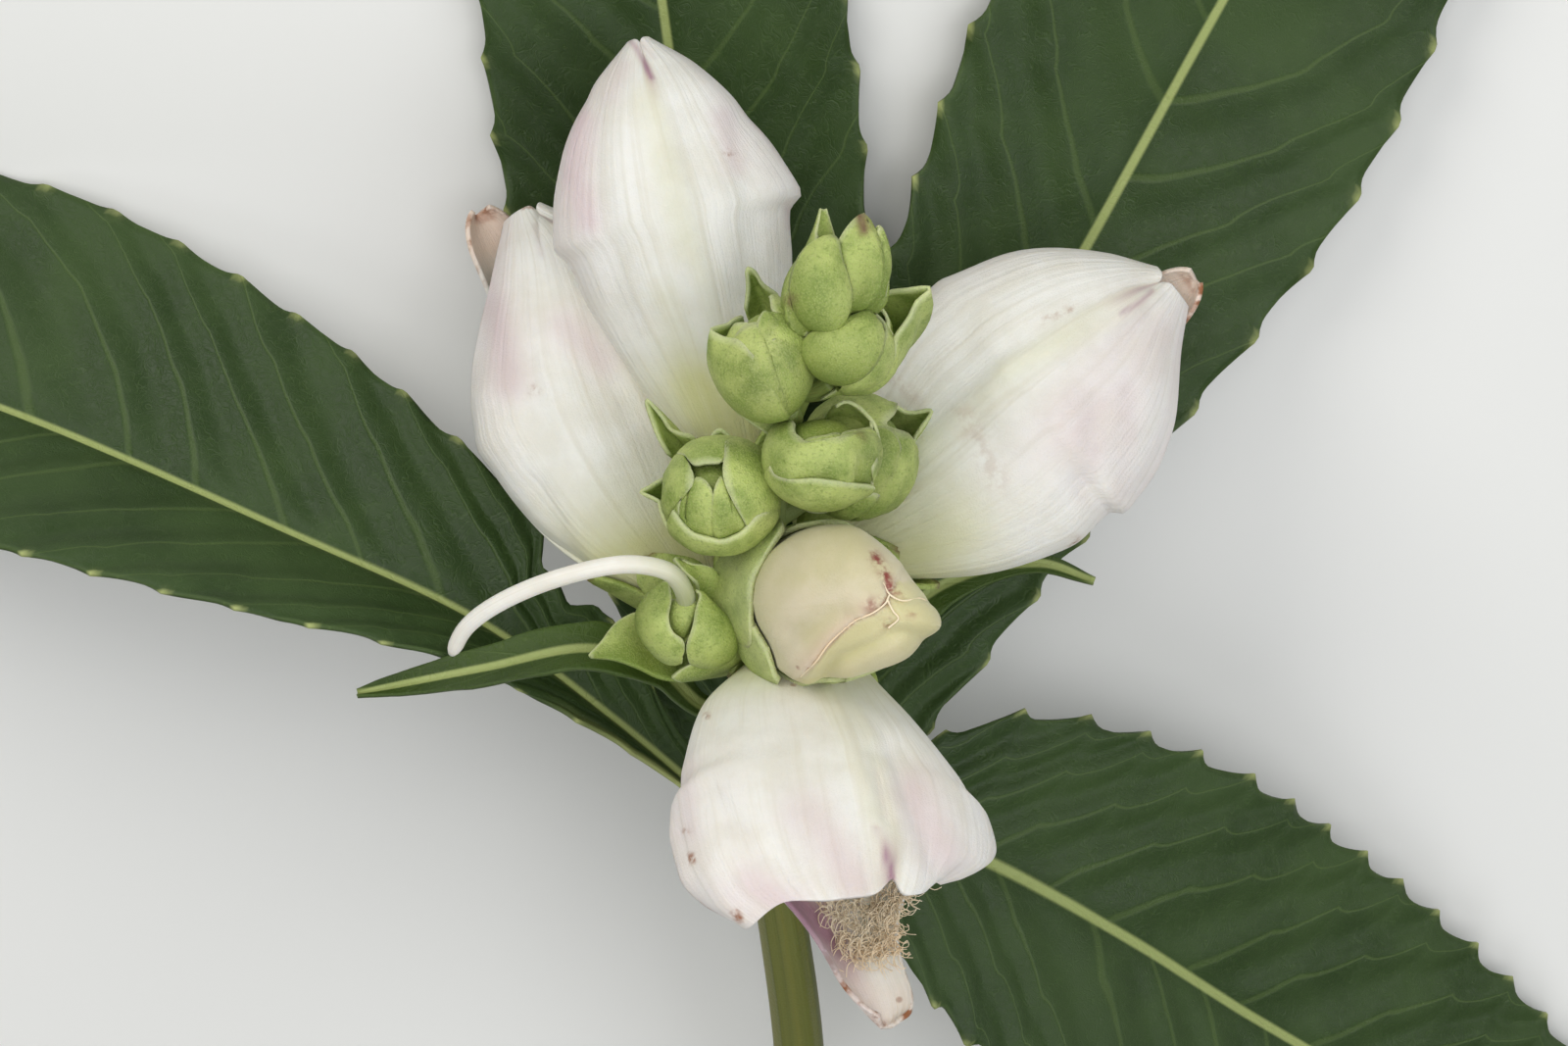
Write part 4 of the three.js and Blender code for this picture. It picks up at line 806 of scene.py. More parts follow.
def makeCalyx(form, node):
    detail = calyxDetail
    place, length, section = axesOf(form), lengthOf(form), corollaSection(form)
    halfTurn, below, wide = profile(detail["halfTurn"]), detail["below"], detail["footRadius"]
    bm = newSheets()
    for k in range(detail["count"]):
        def pointAt(u, v, k=k):
            z = (form["sepals"] + below) * v * (1.0 if k % 2 else 0.9) - below
            angle = math.radians((k + 0.5) * 360 / detail["count"] + (2 * u - 1) * halfTurn(v))
            x, y = section(angle, max(z, 0) / length)
            lap = 0.2 * (2 * u - 1) * ramp(v, 0.1, 0.4)
            out = 1 + (detail["hug"] + lap + 0.25 * math.sin(math.pi * v)) / math.hypot(x, y)
            waist = 1 + 0.22 * z if z < 0 else 1
            return place(x * out * waist, y * out * waist, z)

        def masksAt(u, v, spot):
            return 0, 0.5 * (1 - ramp(v, 0, 0.35)), 0.8 * ramp(v, 0.97, 1)
        addSheet(bm, detail["columns"], detail["rows"], pointAt, masksAt)
    faceOut(bm)
    bm = thicken(bm, detail["wall"])
    addBall(bm, 20, 12, lambda at: place(
        wide * at.x, wide * at.y, mix(detail["footLow"], detail["footHigh"], (at.z + 1) / 2)))
    finishPiece(bm, node + "_sepals", [node], budSkin)


for name, form in corollaForms.items():
    makeCalyx(form, "calyx_" + name)
print("calyces made")

# The young corolla: shut, its upper lip folded over the lower one. Its outline and lines are as seen
# from the front.
youngForm = {"root": (-1.2, -5.4, 3), "tip": (10.6, -8, 17)}
youngDetail = {
    "columns": 132, "rows": 84, "middle": (4.5, -6.1), "depth": 9.6, "rise": 0.42, "half": 5.6,
    "thread": 0.07, "threadSunk": 0.3, "threadSides": 6, "threadRows": 50, "turns": 360,
    "square": 0.82,  # below 1 the front is flatter and its sides are steeper
    "outline": ((-2.5, -6.1), (-2.2, -4.2), (-1.1, -2.4), (0.2, -1.3), (1.8, -0.4), (3.8, -0.1),
        (5.5, -0.3), (7.2, -1.4), (8.7, -2.8), (10.1, -4.6), (11.1, -5.9), (11.9, -7.1), (12, -7.9),
        (11.6, -8.6), (10.7, -9.1), (9.5, -10.2), (8.3, -10.8), (6.9, -11.3), (5.1, -11.9), (3.1, -12.1),
        (2.2, -12.5), (1.2, -12.2), (0.3, -11.6), (-0.4, -11.1), (-0.7, -10.3), (-1.2, -9.3), (-2.1, -7.7)),
    "upper": ((1.1, -12), (2.4, -10.7), (3.3, -9.5), (4.3, -8.5), (5.5, -7.5), (6.9, -6.9), (7.9, -6.1),
        (8.2, -5.4)),
    "side": ((7.7, -4.5), (8.2, -5.4), (9.1, -5.9), (10.7, -5.8), (11.4, -6.2)),
    "beak": ((8, -5.8), (8.5, -6.8), (8.9, -7.3), (8.1, -8.1)),
    "pleat": ((2.3, -12.5), (4.4, -10.6), (6, -9.8), (7.2, -9.2), (8.3, -8.6), (9.5, -8.3), (10.7, -8.6),
        (11.6, -8.8)),
    "fold": ((0.4, -8.3), (2.4, -7.2), (4.4, -6.8)),
    "streak": ((6.9, -2.5), (7.4, -3.2), (7.8, -4.1), (8.2, -5.2)),
    "rosy": ((2, -11), (4, -8.8), (6.2, -7)),
    "spots": (((6.7, -6.3), 1.0), ((7.6, -6), 0.7), ((7.8, -7.6), 0.8), ((9.7, -6.8), 0.7),
        ((8.9, -5.3), 0.7)),
    "creases": {  # depth and width
        "upper": (0.28, 0.22), "side": (0.25, 0.22), "beak": (0.2, 0.2), "pleat": (0.42, 0.55),
        "fold": (0.35, 0.8)},
}
youngOutline = SmoothCurve([(x, y, 0) for x, y in (*youngDetail["outline"], youngDetail["outline"][0])])


def youngSurface(form):  # the young corolla's skin, by the share of its outline and the angle from its front
    detail = youngDetail
    middle, foot = Vector(detail["middle"]), Vector(form["root"])

    def skinAt(turn, w):
        edge = youngOutline.at(turn % 1.0).to_2d()
        reach = max(0.0, math.sin(w)) ** detail["square"]
        behind = ramp(w, math.pi / 2, math.pi)
        seen = middle.lerp(seenAt(foot), behind) + (edge - middle) * reach
        z = detail["depth"] + detail["rise"] * (seen.x - middle.x) * (1 - behind)
        z += detail["half"] * math.cos(w)
        near = 1 - z / eyeHeight
        return Vector((seen.x * near, seen.y * near, z))

    return skinAt


youngSkinAt = youngSurface(youngForm)
youngHeart = Vector((*youngDetail["middle"], youngDetail["depth"] - 2))  # behind the front's middle


def makeYoung():
    detail = youngDetail

    def dentAt(seen):
        gap, side = fromLine(seen, detail["upper"])
        dent = 0.3 * (1 - ramp(gap, 0.8, 3.0)) if side < 0 else 0.0
        return dent + sum(
            depth * lineBell(seen, detail[name], width) for name, (depth, width) in detail["creases"].items())

    def pointAt(u, v):
        w = math.pi * v
        spot = youngSkinAt(u, w)
        if w > 0.62 * math.pi:
            return spot
        out = (spot - youngHeart).normalized()
        dent = dentAt(seenAt(spot)) * (1 - ramp(w, 1.4, 1.9))
        return spot - out * dent + out * noise.noise(spot * 0.25) * 0.2

    def masksAt(u, v, spot):
        seen = seenAt(spot)
        gap, side = fromLine(seen, detail["upper"])
        lip = ramp(gap, 0, 0.3) if side < 0 and seen.y < -4.5 else 0.0
        gap, side = fromLine(seen, detail["pleat"])
        lip = clamp(lip * (0.55 if side < 0 else 0.8) + 0.25 * bell(gap, 0.5))
        lip = max(lip, 0.5 * ramp(-seen.x, -1.0, 2.2), 0.8 * ramp(math.pi * v, 1.6, 2.4))
        red = 1.2 * lineBell(seen, detail["streak"], 0.42)
        for place, size in detail["spots"]:
            red = max(red, 0.8 * bell((seen - Vector(place)).length / size, 0.6))
        rosy = 0.75 * lineBell(seen, detail["rosy"], 1.0) * (1 - lip)
        return clamp(rosy), lip, clamp(red)

    bm = newSheets()
    addSheet(bm, detail["columns"], detail["rows"], pointAt, masksAt)
    closeSeams(bm)
    finishPiece(bm, "young_corolla_petal", ["young_corolla"], youngSkin)


def makeSeams():  # pale threads where the margins of the young petals lie folded together
    detail = youngDetail
    middle, turns = Vector(detail["middle"]), detail["turns"]
    edges = [youngOutline.at(k / turns).to_2d() - middle for k in range(turns)]

    def spotAt(seen):
        away = Vector(seen) - middle
        turn = min(range(turns), key=lambda k: away.angle(edges[k]))
        reach = min(1.0, away.length / edges[turn].length)
        spot = youngSkinAt(turn / turns, math.asin(reach ** (1 / detail["square"])))
        return spot - (spot - youngHeart).normalized() * detail["threadSunk"]

    bm = newSheets()
    for name in ("upper", "side", "beak"):
        run = SmoothCurve([spotAt(seen) for seen in detail[name]])
        addTube(bm, run, lambda t: detail["thread"], detail["threadSides"], detail["threadRows"])
    closeSeams(bm)
    finishPiece(bm, "young_corolla_seams", [], beardSkin)


makeYoung()
makeSeams()

# The young corolla's calyx.
youngCalyx = {
    "columns": 30, "rows": 26,
    "rear": 172,  # degrees from the front where the sepals start
    "halfTurn": ((0, 0.06), (0.5, 0.12), (0.82, 0.11), (0.95, 0.075), (1, 0.02)),
    # place on the outline, degrees from the front where the tip ends, bulge and breadth
    "sepals": (
        (0.04, 75, 2.2, 1), (0.925, 82, 1.5, 0.7), (0.25, 108, 0.4, 1), (0.47, 112, 0.4, 1),
        (0.7, 108, 0.4, 1)),
    "footRadius": 2.4, "footAside": -0.5, "footBack": -1.6,
}


def makeYoungCalyx(form):
    detail = youngCalyx
    inner = Vector((*youngDetail["middle"], youngDetail["depth"]))
    halfTurn = profile(detail["halfTurn"])
    bm = newSheets()
    for k, (turn, front, bulge, wide) in enumerate(detail["sepals"]):
        def pointAt(u, v, k=k, turn=turn, front=front, bulge=bulge, wide=wide):
            w = math.radians(mix(detail["rear"], front, v))
            spot = youngSkinAt(turn - (2 * u - 1) * halfTurn(v) * wide, w)
            out = (spot - inner).normalized()
            lift = mix(0.45, 0.22, v) + 0.06 * k + 0.08 * noise.noise(spot * 0.5) * v
            dome = 1 - 0.4 * (2 * u - 1) ** 2
            return spot + out * (lift + bulge * dome * math.sin(math.pi * v))

        def masksAt(u, v, spot):
            edge = max(ramp(v, 0.96, 1.0), ramp(abs(2 * u - 1), 0.93, 1.0), 0.45 * ramp(v, 0.45, 0.9))
            return edge, 0.5 * (1 - ramp(v, 0.1, 0.6)), 0
        addSheet(bm, detail["columns"], detail["rows"], pointAt, masksAt)
    faceOut(bm)
    bm = thicken(bm, calyxDetail["wall"])
    x, y, z = form["root"]
    foot = Vector((x + detail["footAside"], y, z + detail["footBack"]))
    addBall(bm, 24, 16, lambda at: foot + at * detail["footRadius"])
    finishPiece(bm, "calyx_young_sepals", ["calyx_young"], budSkin)


makeYoungCalyx(youngForm)
print("young flower made")

# Buds. Each bud has an egg-shaped body, and each of its sepals and bracts runs from a base to a free
# margin. A sheet is (lift, bulge, margin, base), without a base when it starts at the bud's foot. The
# points are as seen from the front, at the depth of the body's skin or at a depth of their own.
budDetail = {
    "columns": 30, "rows": 16, "wall": 0.26, "edge": 0.19, "waver": 0.12,
    "brown": ((((5.8, 23.6), (6.1, 22.4)), 0.45, 1.0), (((0.5, 17),), 0.35, 1.0), (((5.8, 6.6),), 0.3, 0.8)),
}
budForms = {
    "bud_tip": {
        "centre": (3.6, 17.4, 15.4), "radii": (2.3, 3.2, 2.2), "foot": (2.4, 13.7, 12.6), "core": 0.86,
        "sheets": (
            (0, 0,  # rear boat, flank
             ((2, 14, 13.2), (0.9, 16, 15.3), (0.7, 17.6, 15.8), (1.1, 19, 15.9), (2, 20.1, 15.6),
              (2.5, 21.4, 15.1), (2.6, 22.5, 14.7), (2.9, 24, 14.2)),
             ((1.9, 13.7, 12.8), (0.5, 15.5, 13.6), (-0.1, 16.5, 14), (0, 18, 14.2), (0.5, 19.3, 14.3),
              (1.5, 20.7, 14.3), (2.3, 22.4, 14.2), (2.8, 24, 14.1))),
            (0, -0.35,  # rear boat, inside
             ((4.1, 19, 13.2), (4, 20.8, 13.4), (3.8, 22.1, 13.7), (3.5, 23, 13.9), (3.2, 24, 14.1)),
             ((1.5, 19.4, 15.2), (2.3, 21, 14.9), (2.6, 22.5, 14.6), (2.9, 24, 14.2))),
            (0, 0.45,  # centre
             ((4.1, 17, 16), (4.1, 19.4, 16.2), (4.1, 21.4, 16), (5.5, 23.4, 15.7), (6.1, 23.7, 15.6),
              (6.4, 22.9, 15.6), (6.6, 21.7, 15.5), (6.5, 19.4, 15.4), (6.3, 17.1, 15.2)),
             ((4.4, 16, 15.8), (5.9, 16.3, 15))),
            (0, -0.1,  # right, inside
             ((6.5, 22.1, 14.4), (7.3, 22.8, 15), (6.8, 21, 15.3), (6.7, 19.4, 15.3), (6.5, 18, 15.1)),
             ((6.3, 20.8, 14), (6.3, 18, 14))),
            (0, 0.4,  # right
             ((6.5, 17.5, 15.3), (6.7, 19.4, 15.6), (6.8, 21, 15.5), (7.3, 22.7, 15.3), (7.5, 22.5, 15.1),
              (7.7, 20.4, 14.7), (7.9, 18.2, 14.3), (7.5, 16.8, 13.9)),
             ((5.5, 16.2, 15), (7.1, 16.1, 13.8))),
            (0, 0.85,  # front
             ((1.9, 14.6, 15.2), (0.8, 16.2, 16), (0.6, 17.6, 16.4), (1.1, 19, 16.6), (2, 20.1, 16.6),
              (3.1, 21.3, 16.5), (3.7, 22, 16.2), (4.1, 21.7, 16.4), (4.3, 20.5, 16.8), (4.9, 18.6, 17.1),
              (5.1, 17.5, 17.1), (4.9, 16.4, 16.8), (4.2, 15.6, 16.2)),
             ((2, 14.4, 14.8), (2.9, 15, 15.6)))),
    },
    "bud_upper_left": {
        "centre": (-1.3, 12.6, 12.6), "radii": (2.75, 3.75, 3.1), "foot": (0.2, 8.5, 9.8), "core": 0.8,
        "sheets": (
            (0, 0.1,  # rear bract
             ((-3, 16.5, 9.6), (-2.8, 18.1, 10), (-2.8, 19.5, 10.5), (-2.3, 19.3, 10.3), (-1.7, 18.4, 10),
              (-0.5, 17.5, 9.6))),
            (0, 0,  # low bract
             ((-4.6, 13.4, 10.6), (-4.7, 11.1, 10.4), (-3.9, 8.8, 9.9), (-2.6, 7.7, 9.4), (-1.2, 6.7, 9)),
             ((-2.3, 13.2, 9.6), (-0.3, 7.8, 9))),
            (0, 0,  # deep
             ((-2.5, 12.9), (-2.2, 13.9), (-1.6, 14), (-1.1, 13.2), (-1.3, 12.1)),
             ((-2.4, 11.9), (-1.4, 11.6))),
            (0.12, 0.15,  # upper left
             ((-3.9, 15), (-2.9, 15.3), (-2.2, 15.2), (-1.6, 16), (-0.8, 16.1), (-1.1, 17.4))),
            (0.2, 0.1,  # upper right
             ((-1.1, 17.4), (-0.8, 16.1), (0.3, 15.3), (1.2, 14.4), (1.5, 13.7))),
            (0.28, 0.1,  # inner left
             ((-3.9, 13.8), (-3.5, 14.6), (-2.7, 15.2), (-2.1, 15.3), (-2, 14.6), (-1.7, 13.9), (-2.5, 13),
              (-3.2, 12.6))),
            (0.32, 0.15,  # inner right
             ((-1, 13.5), (-1.7, 13.9), (-2.1, 14.6), (-2, 15.2), (-1.5, 16.2), (-0.6, 15.6), (0.5, 15.2),
              (1.3, 14.3)),
             ((-0.3, 13), (1.6, 13.2))),
            (0.42, 0.2,  # front right
             ((1, 9.6), (-0.2, 10.2), (-1.5, 12.2), (-1.2, 13), (-0.9, 14.1), (-0.3, 13.8), (1.6, 13.7)),
             ((1.1, 9.5), (1.9, 11.3), (1.8, 13.5))),
            (0.55, 0.3,  # left boat
             ((1.2, 9.6, 12.6), (-0.2, 10.1, 14.6), (-1.4, 12, 16), (-2.1, 12.7, 15.9), (-3.2, 13.9, 15.2),
              (-4.7, 14.3, 14.2), (-5.5, 14.8, 13.4), (-5.1, 15, 12.8), (-4, 15.2, 11.8),
              (-2.9, 15.4, 11)))),
    },
    "bud_upper_right": {
        "centre": (4.7, 13.1, 13.4), "radii": (2.95, 2.65, 3.2), "foot": (3.8, 10.6, 10.2), "core": 0.82,
        "sheets": (
            (0.5, 0.85,  # boat
             ((2.8, 9.5, 10), (4.5, 10.5, 11.6), (6.2, 11, 12.8), (7.4, 11.6, 13.4), (7.8, 13.3, 13.8),
              (8.5, 14.3, 13.8), (9.5, 15.7, 13.6), (10.1, 16.9, 13.4), (11.3, 18, 13.4), (9.5, 17.9, 12.2),
              (7.8, 17.6, 11.4), (7.3, 16.4, 10.8))),
            (0.12, 0.1,  # back
             ((5.7, 16), (6.5, 16.2), (7.3, 16.4), (7.9, 15.7), (8, 14.9), (8.4, 14.2))),
            (0.25, 0.15,  # right
             ((6.9, 16), (7.6, 15.4), (7.5, 14), (6.7, 12.2), (5.5, 11.1), (4.5, 10.6))),
            (0.45, 0.45,  # front
             ((1.7, 12.7), (1.5, 13.5), (1.9, 14.3), (3.2, 15.1), (5.5, 15.9), (6.5, 16.3), (6.9, 15.7),
              (7.4, 15.3), (7.3, 14.3), (6.9, 13.1), (6.3, 11.9)),
             ((2, 12.2), (2.7, 11.1), (4.1, 10.6), (5.4, 11)))),
    },
    "bud_right": {
        "centre": (2.8, 5, 10.4), "radii": (3.75, 3.2, 4), "foot": (1.7, 3.4, 6.2), "core": 0.86,
        "sheets": (
            (0, 0.2,  # inner left
             ((1, 3.9), (0.9, 4.9), (1.6, 6.3), (3.2, 6.7), (4.3, 6.8), (4.4, 5.3), (4.2, 4.2), (3.8, 3.2)),
             ((1.2, 2.6), (3.6, 2.3))),
            (0.12, 0.2,  # inner right
             ((4, 3), (4.1, 4), (4.4, 5.1), (4.3, 6.7), (5.6, 7.1), (6.8, 7.1), (7, 5.7), (6.7, 3.9)),
             ((4.1, 2.3), (6.2, 2.6))),
            (0.27, 0.15,  # left
             ((1.1, 2.9), (0.9, 4.8), (1.4, 5.8), (1.6, 6.2), (0.9, 6.9), (0.8, 7.7))),
            (0.4, 0.25,  # top
             ((0.7, 7.8), (0.9, 6.8), (1.7, 6.2), (3.2, 6.4), (4.3, 6.6), (5.3, 6.8), (6.7, 6.9),
              (6.7, 7.8))),
            (0.5, 0.15,  # rim
             ((4, 8.9), (4.7, 9.3), (5.9, 8.7), (6.8, 7.8), (7.2, 6.7), (7, 4.9), (6.7, 4.3), (6.7, 3.5),
              (6.8, 2.8))),
            (0.66, 0.2,  # collar
             ((-1, 4.4), (-0.6, 3.7), (0.4, 3.4), (2.3, 3.4), (3.6, 3.3), (4.8, 3.1), (5.7, 3),
              (6.9, 2.8, 11.6), (6.9, 2.6, 11.2)))),
    },
    "bud_far_right": {
        "centre": (5.8, 5.2, 4.2), "radii": (3.85, 4.1, 3.7), "foot": (2.5, 2.6, 1.2), "core": 0.86,
        "sheets": (
            (0.1, 0.1,  # bract
             ((8.5, 9, 3.4), (9.3, 8.5, 3.2), (10, 8.5, 3.4), (11.3, 8.6, 4), (10.5, 7.3, 3.6),
              (10.1, 6.7, 3.2), (9.8, 4.9, 2.6))),
            (0.1, 0.1,  # lower right
             ((9.8, 6.5), (8.7, 7.1), (7.8, 7.4), (7.2, 7.3), (6.8, 5.7), (6.8, 3.5))),
            (0.22, 0.15,  # top
             ((3.6, 7.8), (5.2, 7.6), (6.8, 7.6), (7.6, 7.6), (8.5, 8.4), (8.6, 9.1))),
            (0.32, 0.15,  # right
             ((8.6, 9.1), (8.5, 8.4), (7.8, 7.6), (7.9, 7.4), (8.7, 7.1), (9.9, 6.3))),
            (0.42, 0.15,  # crescent
             ((7.2, 7.4), (7.9, 7.2), (8.5, 6.7), (8.9, 5.7), (8.8, 4.7), (8.3, 3.7), (7.4, 2.2)),
             ((5.7, 6.4), (5.6, 3.5), (5.9, 2))),
            (0.5, 0.2,  # low
             ((0.7, 1.7), (2.1, 0.9), (4.1, 1.1), (5.7, 1.9), (6.9, 2.4), (7.4, 2.2), (7.7, 2.6)))),
    },
    "bud_left": {
        "centre": (-4.9, 2.2, 7.2), "radii": (4, 3.85, 4.3), "foot": (-3.5, 1.2, 2.8), "core": 0.8,
        "sheets": (
            (0, 0.05,  # upper bract
             ((-8.9, 5.3, 3.6), (-9.6, 6.5, 3.7), (-10.1, 7.7, 3.8), (-10.6, 9.5, 4.4), (-9.4, 8.2, 4.3),
              (-8.7, 7.2, 3.9), (-7, 6.6, 3.6))),
            (0, 0,  # nub
             ((-5.6, 6.6, 5), (-5.3, 7, 5), (-4.9, 7.2, 5), (-4, 6.5, 5))),
            (0, 0.2,  # inner left
             ((-7.5, -0.8), (-8, 0.8), (-7.9, 1.6), (-7.6, 2.3), (-7, 2.8), (-6.8, 3.4), (-6.2, 3.4),
              (-5.5, 2.5), (-5.4, 1.6), (-5.5, 0.4), (-5.1, -1.1)),
             ((-7, -1.5), (-5.3, -1.7))),
            (0.1, 0.2,  # inner right
             ((-5.3, -1.2), (-5.5, 0.4), (-5.4, 2.2), (-5.3, 2.7), (-4.8, 3.6), (-4.5, 2.6), (-3.6, 1),
              (-2.8, -0.2)),
             ((-4.9, -1.7), (-2.9, -1))),
            (0.22, 0.15,  # left
             ((-7.6, -0.5), (-8, 1.1), (-7.7, 2.1), (-7, 2.8), (-6.9, 3.6), (-7.2, 4.3), (-8.3, 5))),
            (0.34, 0.2,  # top
             ((-8.1, 5.2), (-7.4, 5), (-6.9, 4.4), (-6.1, 4.5), (-4.8, 4.6), (-4.6, 5.1), (-4.5, 6.5))),
            (0.44, 0.2,  # right
             ((-4.5, 6.6), (-4.6, 5), (-4.7, 4), (-4.5, 2.9), (-4, 1.8), (-3.4, 0.7), (-2.8, -0.1),
              (-1.6, 0.7), (-0.7, 1.1))),
            (0.58, 0.2,  # collar
             ((-8.5, 1), (-7.9, 0.1), (-7, -0.7), (-5.8, -1.1), (-4.8, -1.3), (-3.6, -0.9), (-2.8, -0.2),
              (-2.2, 0.6), (-1.1, 1), (-0.4, 1.2))),
            (0.6, 0.25,  # left boat
             ((-9.2, 3.4, 5.2), (-10.5, 2.7, 5.6), (-11, 2.4, 5.8), (-10.2, 2, 6.2), (-9.5, 1.6, 6.8),
              (-8.7, 0.9, 7), (-7.8, -0.2, 7.2), (-6.6, -1.2, 7.4)))),
    },
    "calyx_spent": {
        "centre": (-7.5, -7.7, 3), "radii": (3.1, 2.75, 3.2), "foot": (-7, -11.1, 0), "core": 0.55,
        "sheets": (
            (0, -0.4,  # bract, inside
             ((-6.6, -9.8, 0.6), (-8.5, -7.8, 0.2), (-11, -6.8, 0.6), (-12.6, -7.4, 1.2),
              (-13.3, -8.1, 1.6), (-14, -9.1, 2.2), (-15, -10.2, 3.2)),
             ((-6.7, -11.9, 2), (-7.6, -12.1, 2.2), (-9.4, -11.9, 2.4), (-11.2, -11.1, 2.8),
              (-13, -10.5, 3.2), (-14.8, -10.3, 3.4))),
            (0, 0.1,  # bract, rim
             ((-3.5, -8.8, 2.4), (-3.8, -9.9, 3), (-4.4, -10.5, 3.4), (-5.5, -10.4, 3.8), (-6.3, -10.3, 4),
              (-7.1, -10.7, 4), (-7.8, -11.1, 3.8), (-8.6, -11.8, 3.2)),
             ((-2.7, -10.1, 0.8), (-3.9, -10.9, 1.2), (-5.8, -11.8, 1.8), (-7.9, -12.1, 2.4))),
            (0, -0.1,  # inner
             ((-8.8, -7.1, 3.6), (-8.6, -5.9, 4.6), (-7.6, -6, 5.4), (-6.7, -6.1, 5.4), (-6.8, -7.1, 5),
              (-7.1, -8.3, 5)),
             ((-8.6, -8.9, 4), (-7.6, -9.3, 5))),
            (0.3, 0.45,  # left
             ((-7.7, -10.1), (-7.7, -9), (-8.5, -8.3), (-8.8, -7.3), (-8.6, -5.8), (-8.7, -4.7, 5.6),
              (-8.8, -4.4, 5.6)),
             ((-7.9, -10.2, 2), (-8.8, -9.8, 1.4), (-9.8, -8.9, 1.8), (-10.7, -8, 2), (-11, -7.1, 2.4),
              (-10.9, -6.3, 3.2), (-10.4, -5.5, 4), (-9.4, -4.8, 5))),
            (0.35, 0.55,  # right
             ((-7.4, -10), (-7.4, -9.2), (-7, -7.9), (-6.7, -6.3), (-6.5, -5.5, 5.8), (-6.8, -5.2, 5.8)),
             ((-7, -10.4, 2.2), (-5.8, -10.2, 1.4), (-4.8, -10.2, 1.4), (-4, -9.7, 1.6), (-3.9, -8.8, 2),
              (-4.5, -7.8, 2.8), (-5.6, -6.7, 4), (-6.2, -5.6, 5))),
            (0, 0.15,  # torn fold
             ((-6.7, -4.6, 5), (-7.6, -3.8, 5.4), (-8.5, -2.7, 5.4), (-7, -3.1, 4.8), (-5.8, -3.3, 4.2),
              (-5.2, -3.8, 3.6), (-4.4, -5.6, 2.8), (-3.9, -7.4, 2)),
             ((-6.6, -5.6, 3.6), (-5.9, -6.3, 3), (-4.8, -7.8, 2)))),
    },
}


def skinSpot(form, seen, lift):  # the plant point behind a seen point: on a bud's skin or at its own depth
    (cx, cy, cz), (rx, ry, rz) = form["centre"], (r + lift for r in form["radii"])
    z = seen[2] if len(seen) > 2 else cz + 0.7 * rz
    for _ in range(4):
        near = 1 - z / eyeHeight
        if len(seen) > 2:
            break
        gap = ((seen[0] * near - cx) / rx) ** 2 + ((seen[1] * near - cy) / ry) ** 2
        z = cz + rz * math.sqrt(max(0.0, 1 - gap))
    return Vector((seen[0] * near, seen[1] * near, z))


def addSepal(bm, form, lift, bulge, marginRow, baseRow=None):
    detail = budDetail
    centre, foot = Vector(form["centre"]), Vector(form["foot"])
    radii = Vector([r + lift for r in form["radii"]])
    margin = SmoothCurve([skinSpot(form, seen, lift) for seen in marginRow])
    base = SmoothCurve([skinSpot(form, seen, lift) for seen in baseRow]) if baseRow else None

    def inBody(spot):
        return Vector([(spot[k] - centre[k]) / radii[k] for k in range(3)])

    def pointAt(u, v):
        end = inBody(margin.at(u))
        start = inBody(base.at(u) if base else foot.lerp(margin.at(u), 0.04))
        turned = start.normalized().slerp(end.normalized(), v, start.normalized())
        size = mix(start.length, end.length, v)
        if not base:
            size = max(1.0, size)
        spot = centre + Vector([turned[k] * size * radii[k] for k in range(3)])
        out = Vector([turned[k] / radii[k] for k in range(3)]).normalized()
        swell = math.sin(math.pi * min(1.0, v)) * (1 - (2 * u - 1) ** 4 * (0.8 if base else 0.2))
        return spot + out * (bulge * swell + detail["waver"] * noise.noise(spot * 0.7) * v)

    def masksAt(u, v, spot):
        fromEdge = (1 - v) * (margin.at(u) - (base.at(u) if base else foot)).length
        if base:
            fromEdge = min(fromEdge, min(u, 1 - u) * margin.length)
        edge = 1 - ramp(fromEdge, 0.06, detail["edge"])
        return edge, 0.5 * (1 - ramp(v, 0, 0.5)), clamp(markAt(seenAt(spot), detail["brown"]))

    addSheet(bm, detail["columns"], detail["rows"], pointAt, masksAt)


def makeBud(node, form):
    bm = newSheets()
    for sheet in form["sheets"]:
        addSepal(bm, form, *sheet)
    closeSeams(bm)
    bm = thicken(bm, budDetail["wall"])
    centre, size = form["centre"], Vector(form["radii"]) * form["core"]
    addBall(bm, 36, 24, lambda at: [centre[k] + at[k] * size[k] for k in range(3)])
    finishPiece(bm, node + "_sepals", [node], budSkin)


for node, form in budForms.items():
    makeBud(node, form)
print("buds made")

# The style left standing in the spent calyx.
styleForm = {
    "run": (
        (-7.3, -7.8, 2.2), (-7.6, -5, 6.4), (-8.8, -3.6, 8.6), (-11.8, -3.1, 9.4),
        (-16.8, -4.1, 9.4), (-21.4, -6, 7.8), (-24, -7.9, 5.8), (-25.2, -9.9, 4)),
    "radius": ((0, 0.75), (0.5, 0.68), (0.97, 0.6), (1, 0.3)),
}


def makeStyle(form):
    def masksAt(u, v, spot):
        return 0, 0.9 * (1 - ramp(v, 0.15, 0.45)), 0

    bm = newSheets()
    addTube(bm, SmoothCurve(form["run"]), profile(form["radius"]), 18, 60, masksAt=masksAt)
    closeSeams(bm)
    finishPiece(bm, "style_tube", ["style"], styleSkin)


makeStyle(styleForm)

